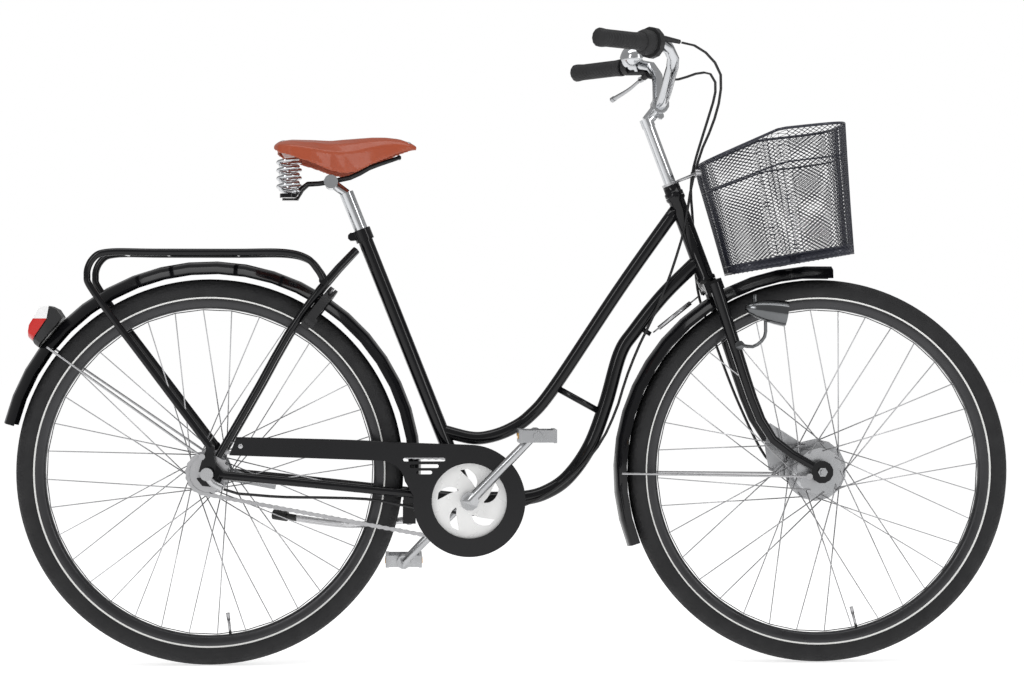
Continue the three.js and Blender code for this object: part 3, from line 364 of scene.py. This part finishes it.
def tube_mesh(line, radius, sides=10, closed=False):
    """Points and faces of a round tube along a line of points."""
    count = len(line)
    points, faces, across = [], [], None
    for i, p in enumerate(line):
        after = line[(i + 1) % count] if closed or i < count - 1 else p
        before = line[i - 1] if closed or i > 0 else p
        along = (after - before).normalized()
        if across is None:
            across = along.orthogonal()
        across = (across - along * across.dot(along)).normalized()
        up = along.cross(across)
        for k in range(sides):
            a = 2 * math.pi * k / sides
            points.append(p + radius * (math.cos(a) * across + math.sin(a) * up))
    for i in range(count if closed else count - 1):
        here, there = i * sides, ((i + 1) % count) * sides
        for k in range(sides):
            n = (k + 1) % sides
            faces.append((here + k, here + n, there + n, there + k))
    if not closed:
        faces.append(tuple(reversed(range(sides))))
        faces.append(tuple(range((count - 1) * sides, count * sides)))
    return points, faces


def merged(parts):
    """Several (points, faces) as one."""
    points, faces = [], []
    for more_points, more_faces in parts:
        start = len(points)
        points += list(more_points)
        faces += [tuple(start + i for i in f) for f in more_faces]
    return points, faces


def slab(outline, low, high):
    """A flat outline of (x, z) points, thickened along Y."""
    count = len(outline)
    points = [Vector((x, y, z)) for y in (low, high) for x, z in outline]
    faces = [(i, (i + 1) % count, count + (i + 1) % count, count + i) for i in range(count)]
    return points, faces + [tuple(reversed(range(count))), tuple(range(count, 2 * count))]


# ---------- wheels ----------
def revolved(profile, centre, steps=144):
    """A closed outline of (radius, y) points, turned once round the line through centre along Y."""
    count = len(profile)
    points, faces = [], []
    for i in range(steps):
        a = 2 * math.pi * i / steps
        for r, y in profile:
            points.append(centre + Vector((r * math.cos(a), y, r * math.sin(a))))
    for i in range(steps):
        here, there = i * count, ((i + 1) % steps) * count
        for k in range(count):
            n = (k + 1) % count
            faces.append((here + k, there + k, there + n, here + n))
    return points, faces


def make_tyre(end, centre):
    """A round tyre with a flatter tread and two shallow grooves beside the tread's middle."""
    profile = []
    for i in range(48):
        a = 2 * math.pi * i / 48
        groove = 0.9 if i in (3, 45) else 0.0
        r = 333.2 + 19.8 * math.cos(a) - groove
        profile.append((r * MM, 21 * math.sin(a) * MM))
    name = end + "_tyre"
    made = piece(name + "_round", *revolved(profile, centre), end + "_wheel", NODE_FINISH[name], "tyre")
    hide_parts(name)


def make_rim(end, centre):
    """A box-section rim with rounded edges and a raised bead on each side."""
    half = [(299, 0), (299.4, 6), (301, 9.5), (305, 11.6), (312, 12.4), (318, 13), (319.5, 12.4), (319.5, 11)]
    profile = [(r * MM, y * MM) for r, y in half] + [(r * MM, -y * MM) for r, y in reversed(half[1:])]
    made = piece(end + "_rim_round", *revolved(profile, centre), end + "_wheel", FINISH["rim"], "rim")
    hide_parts(end + "_rim")


# ---------- carrier ----------
CARRIER_Y, CARRIER_Z = 62, 753.5
CARRIER_BARS = (-700, -625, -497, -400)


def curve_through(line, steps=8):
    """A smooth curve through every point of a line (Catmull-Rom)."""
    ends = [2 * line[0] - line[1], *line, 2 * line[-1] - line[-2]]
    made = []
    for a, b, c, d in zip(ends, ends[1:], ends[2:], ends[3:]):
        for i in range(steps):
            t = i / steps
            made.append(0.5 * (2 * b + (c - a) * t + (2 * a - 5 * b + 4 * c - d) * t ** 2
                               + (3 * b - a - 3 * c + d) * t ** 3))
    return [*made, line[-1]]


def placed(x, y, z):
    """A point given in the part's own millimetres."""
    return Vector((x * MM + SHIFT, y * MM, z * MM))


def carrier_line(side):
    y = side * CARRIER_Y
    return [placed(*p) for p in (
        (-541, side * 69, 400), (-650, side * 65, 545), (-748, y, 677), (-763, y, 712), (-752, y, 742),
        (-724, y, CARRIER_Z), (-640, y, CARRIER_Z), (-500, y, CARRIER_Z), (-410, y, CARRIER_Z), (-368, y, 743),
        (-348, y * 0.96, 722), (-338, y * 0.94, 705))]


def make_carrier():
    parts = [tube_mesh(curve_through(carrier_line(side)), 6.4 * MM, 16) for side in (-1, 1)]
    for x in CARRIER_BARS:
        ends = [placed(x, side * CARRIER_Y, CARRIER_Z) for side in (-1, 1)]
        parts.append(tube_mesh(ends, 4.4 * MM, 14))
    for side in (-1, 1):
        parts.append(tube_mesh([placed(-541, side * 66.5, 398), placed(-541, side * 74, 398)], 8.4 * MM, 20))
        parts.append(tube_mesh([placed(-338, side * 52, 703), placed(-338, side * 62, 703)], 7.9 * MM, 20))
    made = piece("carrier_tubes", *merged(parts), "frame", FINISH["black_enamel"], "black_enamel")
    edge = made.modifiers.new("edge", "BEVEL")
    edge.width = 0.4 * MM
    edge.segments = 2
    edge.angle_limit = SHARP
    edge.harden_normals = True
    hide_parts("rear_carrier")


# ---------- curved frame tubes ----------
UPPER_LINE = [
    (311.2, 837.4), (206.4, 690), (86.3, 510), (40, 455), (3, 430), (-36, 416.5), (-70, 415), (-122, 428)]
LOWER_LINE = [
    (348.8, 739.5), (286, 677), (234, 612), (206.4, 569), (180, 477), (151, 400),
    (114, 346), (77, 318), (30, 304), (-62, 302.1)]


def make_main_tubes():
    upper = curve_through([placed(x, 0, z) for x, z in UPPER_LINE])
    lower = curve_through([placed(x, 0, z) for x, z in LOWER_LINE])
    brace = [placed(92, 0, 505), placed(168, 0, 463)]
    lug = [placed(240, 0, 619), placed(263, 0, 605.5)]
    finish = FINISH["black_enamel"]
    made = piece("upper_tube_round", *tube_mesh(upper, 11.8 * MM, 24), "frame", finish, "black_enamel")
    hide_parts("upper_main_tube")
    parts = [tube_mesh(lower, 13.4 * MM, 24), tube_mesh(brace, 6 * MM, 16), tube_mesh(lug, 4.5 * MM, 12)]
    made = piece("lower_tube_round", *merged(parts), "frame", finish, "black_enamel")
    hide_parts("lower_main_tube")


# ---------- chainring and guard ----------
def arc(x, z, r, start, stop, steps=48):
    """Points on an arc, in the part's millimetres. Angles are in degrees."""
    turns = [math.radians(start + (stop - start) * i / steps) for i in range(steps + 1)]
    return [(x + r * math.cos(a), z + r * math.sin(a)) for a in turns]


def flat_plate(name, outlines, y, thick, body, finish, slot):
    """A plate in the XZ plane. The first outline is its edge and the others are holes through it."""
    data = bpy.data.curves.new(name, "CURVE")
    data.dimensions, data.fill_mode = "2D", "BOTH"
    data.extrude, data.bevel_depth = (thick / 2 - 0.2) * MM, 0.2 * MM
    for outline in outlines:
        spline = data.splines.new("POLY")
        spline.points.add(len(outline) - 1)
        for point, (x, z) in zip(spline.points, outline):
            point.co = (x * MM + SHIFT, z * MM, 0, 1)
        spline.use_cyclic_u = True
    curve = bpy.data.objects.new(name + "_curve", data)
    bpy.context.scene.collection.objects.link(curve)
    bpy.context.view_layer.update()
    mesh = bpy.data.meshes.new_from_object(curve.evaluated_get(bpy.context.evaluated_depsgraph_get()))
    bpy.data.objects.remove(curve)
    points = [Vector((v.co.x, y * MM - v.co.z, v.co.y)) for v in mesh.vertices]
    faces = [tuple(f.vertices) for f in mesh.polygons]
    return piece(name, points, faces, body, finish, slot, smooth=False)


def comma(x, z, degrees, steps=14):
    """A curved window that swells as it winds outwards from the middle."""
    sides = ([], [])
    for i in range(steps + 1):
        t = i / steps
        r, a = 27 + 31 * t, math.radians(degrees - 24 + 34 * t)
        half = 1.5 + 10 * math.sin(math.pi * min(1, 0.1 + 0.72 * t)) * t ** 0.5
        for side, line in zip((-1, 1), sides):
            b = a + side * half / r
            line.append((x + r * math.cos(b), z + r * math.sin(b)))
    return sides[0] + sides[1][::-1]


def make_chainring():
    x, z = (CRANK.x - SHIFT) / MM, CRANK.z / MM
    edge = []
    for i in range(RING_TEETH * 8):
        a = 2 * math.pi * i / (RING_TEETH * 8)
        r = 75.4 + 2.6 * math.cos(RING_TEETH * a)
        edge.append((x + r * math.cos(a), z + r * math.sin(a)))
    windows = [comma(x, z, 90 + 72 * i) for i in range(5)]
    hub = arc(x, z, 12.4, 0, 352.5, 47)
    made = flat_plate("chainring_plate", [edge, *windows, hub], CHAIN_Y / MM, 2.2, "crankset",
                      FINISH["ring_white"], "ring_white")
    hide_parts("chainring")


def make_guard():
    """The guard's flat face with its three slots, its rolled top edge and the bolt at its rear."""
    x, z, r, y = (CRANK.x - SHIFT) / MM, CRANK.z / MM, 102, -54.5
    corner = []
    for i in range(13):
        t = i / 12
        corner.append(tuple((1 - t) ** 2 * a + 2 * t * (1 - t) * b + t ** 2 * c
                            for a, b, c in zip((-230, 375.5), (-196, 370), (-190, 338))))
    edge = [(-495, 418.5), (-508, 386), *corner, *arc(x, z, r, 174.6, 450, 96)]
    slots = []
    for height, width in ((377.5, 70), (365.5, 46), (354, 22)):
        fore = arc(-155 + width / 2, height, 3.5, -90, 90, 10)
        aft = arc(-155 - width / 2, height, 3.5, 90, 270, 10)
        slots.append(fore + aft)
    hole = arc(x, z, 68.5, 0, 357, 119)
    finish = FINISH["black_enamel"]
    made = flat_plate("guard_face", [edge, *slots, hole], y, 1.8, "frame", finish, "black_enamel")
    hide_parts("chain_guard")
    lip = [placed(a, y + 2, b) for a, b in ((-495, 416), (-300, 411), (-190, 405.6), (x, 401.4))]
    piece("guard_lip", *tube_mesh(curve_through(lip), 3 * MM, 16), "frame", finish, "black_enamel")
    bolt = dome(placed(-488, y - 0.8, 402), Vector((0, -1, 0)), 5 * MM, 2.4 * MM)
    piece("guard_bolt", *bolt, "frame", FINISH["steel"], "steel")


# ---------- chain ----------
def chain_pins():
    """Pin places, as (x, z), equally spaced round the two toothed wheels."""
    ring = PITCH / (2 * math.sin(math.pi / RING_TEETH))
    cog = PITCH / (2 * math.sin(math.pi / COG_TEETH))
    gap = Vector((REAR.x - CRANK.x, REAR.z - CRANK.z))
    heading = math.atan2(gap.y, gap.x)
    spread = math.acos((ring - cog) / gap.length)
    path = []
    for centre, radius, start, turn in (
        (CRANK, ring, heading + spread, 2 * math.pi - 2 * spread),
        (REAR, cog, heading - spread, 2 * spread),
    ):
        for i in range(61):
            a = start + turn * i / 60
            path.append(Vector((centre.x + radius * math.cos(a), centre.z + radius * math.sin(a))))
    path.append(path[0])
    steps = [(b - a).length for a, b in zip(path, path[1:])]
    count = 2 * round(sum(steps) / PITCH / 2)
    pins, walked, index = [], 0.0, 0
    for i in range(count):
        want = sum(steps) * i / count
        while walked + steps[index] < want:
            walked += steps[index]
            index += 1
        pins.append(path[index].lerp(path[index + 1], (want - walked) / steps[index]))
    return pins


def link_outline(a, b, radius=4 * MM):
    """A link plate: a round end on each pin and a narrower waist."""
    along = (b - a).normalized()
    side = Vector((-along.y, along.x))
    outline = []
    for end, facing in ((b, along), (a, -along)):
        turned = Vector((-facing.y, facing.x))
        for k in range(7):
            t = math.pi * (k / 6 - 0.5)
            outline.append(end + radius * (math.cos(t) * facing + math.sin(t) * turned))
        waist = (a + b) / 2 + (side if end is b else -side) * 2.7 * MM
        outline.append(waist)
    return [(p.x, p.y) for p in outline]


def make_chain():
    pins, parts = chain_pins(), []
    for i, a in enumerate(pins):
        b = pins[(i + 1) % len(pins)]
        away = (3.0 if i % 2 else 2.0) * MM
        for side in (-1, 1):
            y = CHAIN_Y + side * away
            parts.append(slab(link_outline(a, b), y - 0.4 * MM, y + 0.4 * MM))
        ends = [Vector((a.x, CHAIN_Y + s * 3.7 * MM, a.y)) for s in (-1, 1)]
        parts.append(tube_mesh(ends, 1.8 * MM, 8))
    made = piece("chain_links", *merged(parts), "frame", FINISH["steel"], "steel", smooth=False)
    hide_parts("chain")


# ---------- basket ----------
LEAN = math.radians(9.6)
FLOOR_X, FLOOR_Z = 406, 714
ROWS = [(0, 0, 231, 104), (90, -9, 238, 118), (180, -19, 246, 130), (300, -26, 258, 142)]
TOP_EDGE = [(250, 880), (330, 910), (359, 922.4), (483, 976.7), (615, 991.6), (720, 1003)]
AROUND = 176
LEVELS = 70


def row_at(w):
    """The basket's front, back and half width at height w above its floor, in mm."""
    for low, high in zip(ROWS, ROWS[1:]):
        if w <= high[0]:
            t = (w - low[0]) / (high[0] - low[0])
            return [a + t * (b - a) for a, b in zip(low[1:], high[1:])]
    return ROWS[-1][1:]


def basket_point(share, w, inset=1.2):
    """A point on the basket's wall, in metres. share goes once round it."""
    back, front, half = row_at(w)
    a = 2 * math.pi * share
    squared = lambda c: math.copysign(abs(c) ** 0.45, c)
    u = (back + front) / 2 + ((front - back) / 2 - inset) * squared(math.cos(a))
    y = (half - inset) * squared(math.sin(a))
    x = FLOOR_X + u * math.cos(LEAN) - w * math.sin(LEAN)
    z = FLOOR_Z + u * math.sin(LEAN) + w * math.cos(LEAN)
    return Vector((x * MM + SHIFT, y * MM, z * MM))


def edge_height(x):
    for (x0, z0), (x1, z1) in zip(TOP_EDGE, TOP_EDGE[1:]):
        if x <= x1:
            return z0 + (x - x0) / (x1 - x0) * (z1 - z0)
    return TOP_EDGE[-1][1]


def rim_height(share):
    """The height w at which the wall meets the sloping top edge."""
    low, high = 0.0, 300.0
    for _ in range(24):
        w = (low + high) / 2
        p = basket_point(share, w)
        under = p.z / MM < edge_height((p.x - SHIFT) / MM)
        low, high = (w, high) if under else (low, w)
    return low - 2


def even_shares(count):
    """Shares that give equal steps round the wall, whose corners would bunch them."""
    fine = [basket_point(i / 1440, 150) for i in range(1441)]
    steps = [0.0]
    for a, b in zip(fine, fine[1:]):
        steps.append(steps[-1] + (b - a).length)
    shares, index = [], 0
    for i in range(count):
        while steps[index + 1] < steps[-1] * i / count:
            index += 1
        shares.append(index / 1440)
    return shares


def diamonds(grid, closed_rows):
    """Diamond faces between the points of a grid that closes on itself sideways."""
    faces = []
    for j in range(1, closed_rows):
        for i in range(AROUND):
            if (i + j) % 2:
                corners = ((i - 1, j), (i, j + 1), (i + 1, j), (i, j - 1))
                faces.append(tuple(grid(a % AROUND, b) for a, b in corners))
    return faces


def wired(made, thickness):
    wire = made.modifiers.new("wire", "WIREFRAME")
    wire.thickness = thickness
    wire.use_even_offset = False


def make_basket():
    shares = even_shares(AROUND)
    tops = [rim_height(s) for s in shares]
    points = [basket_point(s, top * j / LEVELS) for j in range(LEVELS + 1) for s, top in zip(shares, tops)]
    faces = diamonds(lambda i, j: j * AROUND + i, LEVELS)
    wall = piece("basket_wall", points, faces, "steering", FINISH["basket_mesh"], "basket_mesh", smooth=False)
    wired(wall, 1.9 * MM)
    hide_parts("basket")
    middle = sum((basket_point(s, 3) for s in shares), Vector()) / AROUND
    rings = 16
    floor = [basket_point(s, 3).lerp(middle, 0.94 * j / rings) for j in range(rings + 1) for s in shares]
    base = piece("basket_floor", floor, diamonds(lambda i, j: j * AROUND + i, rings), "steering",
                 FINISH["basket_mesh"], "basket_mesh", smooth=False)
    wired(base, 1.9 * MM)
    lines = [[basket_point(s, top, 2.6) for s, top in zip(shares, tops)]]
    for share_up in (0.0, 0.06, 0.74):
        lines.append([basket_point(s, 3 + top * share_up, 2.0) for s, top in zip(shares, tops)])
    hoops = [tube_mesh(line, r, 8, True) for line, r in zip(lines, (2.6 * MM, 2 * MM, 1.6 * MM, 1.6 * MM))]
    piece("basket_hoops", *merged(hoops), "steering", FINISH["basket_mesh"], "basket_mesh")
    strip = [basket_point(s, w, 1.0) for w in (1, 16) for s in shares]
    around = [(i, (i + 1) % AROUND, AROUND + (i + 1) % AROUND, AROUND + i) for i in range(AROUND)]
    band = piece("basket_band", strip, around, "steering", FINISH["basket_mesh"], "basket_mesh")
    band.modifiers.new("thick", "SOLIDIFY").thickness = 1.0 * MM


# ---------- saddle ----------
def make_saddle():
    """The leather top, rounded from the CAD solid, with its rivets."""
    source = frame["nodes"]["saddle_leather"]
    made = bpy.data.objects.new("leather_top", source.data.copy())
    bpy.context.scene.collection.objects.link(made)
    made.data.materials.clear()
    made.data.materials.append(FINISH["saddle_leather"])
    remesh = made.modifiers.new("even", "REMESH")
    remesh.mode = "VOXEL"
    remesh.voxel_size = 2.6 * MM
    remesh.use_smooth_shade = True
    soften = made.modifiers.new("soften", "SMOOTH")
    soften.factor = 0.6
    soften.iterations = 9
    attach(made, "saddle_top")
    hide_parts("saddle_leather")
    bpy.context.view_layer.update()
    tree = BVHTree.FromObject(made, bpy.context.evaluated_depsgraph_get())
    low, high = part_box("saddle_leather")
    places = [(low.x + 16 * MM, k * 26 * MM) for k in (-2, -1, 0, 1, 2)]
    places += [(high.x - 14 * MM, k * 9 * MM) for k in (-1, 0, 1)]
    parts = []
    for x, y in places:
        hit, normal, _, _ = tree.ray_cast(Vector((x, y, high.z + 50 * MM)), Vector((0, 0, -1)))
        if hit:
            parts.append(dome(hit, normal, 4 * MM, 1.4 * MM))
    piece("saddle_rivets", *merged(parts), "saddle_top", FINISH["steel"], "steel")


def dome(centre, up, radius, height):
    """A low rivet head: rings that narrow as they rise, and a cap."""
    across = up.orthogonal().normalized()
    other = up.cross(across)
    rings, sides, points, faces = 4, 14, [], []
    for j in range(rings):
        a = j / rings * math.pi / 2
        for k in range(sides):
            t = 2 * math.pi * k / sides
            out = radius * math.cos(a) * (math.cos(t) * across + math.sin(t) * other)
            points.append(centre + out + up * (height * math.sin(a) - 0.3 * MM))
    for j in range(rings - 1):
        for k in range(sides):
            n = (k + 1) % sides
            faces.append((j * sides + k, j * sides + n, (j + 1) * sides + n, (j + 1) * sides + k))
    faces.append(tuple(range((rings - 1) * sides, rings * sides)))
    return points, faces


def make_spring(side):
    """One coil spring, set in place of the CAD spring."""
    low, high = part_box("saddle_spring_" + side)
    wire = 3.4 * MM
    middle = (low + high) / 2
    reach = (high.x - low.x) / 2 - wire
    turns, steps = 4, 120
    line = []
    for i in range(steps + 1):
        a = 2 * math.pi * turns * i / steps
        z = low.z + wire + (high.z - low.z - 2 * wire) * i / steps
        line.append(Vector((middle.x + reach * math.cos(a), middle.y + reach * math.sin(a), z)))
    made = piece("coil_" + side, *tube_mesh(line, wire, 12), "seat_post", FINISH["chrome"], "chrome")
    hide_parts("saddle_spring_" + side)
    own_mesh(made)


# ---------- copied cable and spring ---------------
def make_bending(name, slot):
    """A copy of a CAD cable or spring, with its finish and smoothing, set in place of the CAD node."""
    made = bpy.data.objects.new(name + "_bent", frame["nodes"][name].data.copy())
    bpy.context.scene.collection.objects.link(made)
    made.data.materials.clear()
    made.data.materials.append(FINISH[slot])
    made.modifiers.new("smooth", "NODES").node_group = SMOOTHED
    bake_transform(made)
    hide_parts(name)


# ---------- small parts ----------
def make_valve(body, centre, degrees):
    """A valve stem that stands inwards from the rim, with its cap."""
    a = math.radians(degrees)
    out = Vector((math.cos(a), 0, math.sin(a)))
    stem = tube_mesh([centre + out * 300 * MM, centre + out * 272 * MM], 2.6 * MM, 10)
    cap = tube_mesh([centre + out * 273 * MM, centre + out * 262 * MM, centre + out * 260 * MM], 3.4 * MM, 10)
    piece(body + "_valve", *merged([stem, cap]), body, FINISH["steel"], "steel")


def make_reflectors(side, finish):
    """The two reflectors set into a pedal's front and back."""
    low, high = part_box(side + "_pedal")
    middle = (low.y + high.y) / 2
    parts = []
    for x in (low.x, high.x):
        inward = 3.4 * MM if x == low.x else -3.4 * MM
        corners = [(x + inward, low.z + 7 * MM), (x - 0.4 * inward, low.z + 7 * MM),
                   (x - 0.4 * inward, high.z - 7 * MM), (x + inward, high.z - 7 * MM)]
        parts.append(slab(corners, middle - 22 * MM, middle + 22 * MM))
    made = piece(side + "_pedal_reflectors", *merged(parts), side + "_pedal", finish, smooth=False)
    edge = made.modifiers.new("edge", "BEVEL")
    edge.width = 0.5 * MM
    edge.segments = 2


def make_basket_reflector():
    """A narrow clear reflector held on the basket's front."""
    low, high = 168, 208
    top, bottom = basket_point(0, high, -2), basket_point(0, low, -2)
    outline = [(bottom.x, bottom.z), (bottom.x + 3 * MM, bottom.z), (top.x + 3 * MM, top.z), (top.x, top.z)]
    block = slab(outline, -24 * MM, 24 * MM)
    made = piece("basket_reflector", *block, "steering", WHITE_REFLECTOR, smooth=False)
    edge = made.modifiers.new("edge", "BEVEL")
    edge.width = 0.8 * MM
    edge.segments = 3


# ---------- stage ----------
def make_stage():
    size = 30
    mesh = bpy.data.meshes.new("floor")
    corners = [(-size, -size, 0), (size, -size, 0), (size, size, 0), (-size, size, 0)]
    mesh.from_pydata(corners, [], [(0, 1, 2, 3)])
    floor = bpy.data.objects.new("floor", mesh)
    floor.location.z = -0.5 * MM
    mesh.materials.append(pale_floor())
    bpy.context.scene.collection.objects.link(floor)


def softbox(name, place, target, width, height, power):
    lamp = bpy.data.lights.new(name, "AREA")
    lamp.shape = "RECTANGLE"
    lamp.size, lamp.size_y, lamp.energy = width, height, power
    made = bpy.data.objects.new(name, lamp)
    made.location = place
    made.rotation_euler = (Vector(target) - Vector(place)).to_track_quat("-Z", "Y").to_euler()
    bpy.context.scene.collection.objects.link(made)


def make_light():
    """White behind the object, a dimmer surround for reflections, and three soft lights."""
    world = bpy.data.worlds.new("studio")
    bpy.context.scene.world = world
    world.use_nodes = True
    tree = world.node_tree
    tree.nodes.clear()
    seen = node(tree, "Background", Color=(1, 1, 1, 1), Strength=1.0)
    around = node(tree, "Background", Color=(1, 1, 1, 1), Strength=0.42)
    choose = node(tree, "MixShader")
    tree.links.new(node(tree, "LightPath").outputs["Is Camera Ray"], choose.inputs[0])
    tree.links.new(around.outputs[0], choose.inputs[1])
    tree.links.new(seen.outputs[0], choose.inputs[2])
    tree.links.new(choose.outputs[0], node(tree, "OutputWorld").inputs[0])
    softbox("top", (0, -0.6, 4.0), (0, 0, 0.5), 4.5, 1.6, 60)
    softbox("key", (-2.8, -3.6, 2.6), (0, 0, 0.6), 1.0, 2.4, 42)
    softbox("fill", (3.2, -3.0, 1.8), (0, 0, 0.6), 0.8, 2.2, 26)


def make_camera():
    data = bpy.data.cameras.new("camera")
    data.lens, data.sensor_width = 87.8, 36
    made = bpy.data.objects.new("camera", data)
    target = Vector((0.0046, 0, 0.592))
    made.location = (-0.1960, -4.5956, 0.592)
    made.rotation_euler = (target - made.location).to_track_quat("-Z", "Y").to_euler()
    bpy.context.scene.collection.objects.link(made)
    bpy.context.scene.camera = made


def main():
    make_camera()
    bpy.context.scene.view_settings.view_transform = "Standard"
    slots = {s["node"]: s["material_slot"] for s in frame["record"]["subparts"]}
    for name, cad in frame["nodes"].items():
        finish = NODE_FINISH.get(name) or FINISH[slots[name]]
        dress(name, cad, finish)
    for end, centre in (("front", FRONT), ("rear", REAR)):
        make_tyre(end, centre)
        make_rim(end, centre)
    make_main_tubes()
    make_chainring()
    make_guard()
    make_chain()
    make_carrier()
    make_basket()
    make_basket_reflector()
    make_saddle()
    for side in ("left", "right"):
        make_spring(side)
        make_reflectors(side, AMBER)
    make_bending("shift_cable", "black_plastic")
    make_bending("damper_spring", "steel")
    make_valve("rear_wheel", REAR, -83)
    make_valve("front_wheel", FRONT, -76)
    make_stage()
    make_light()


main()
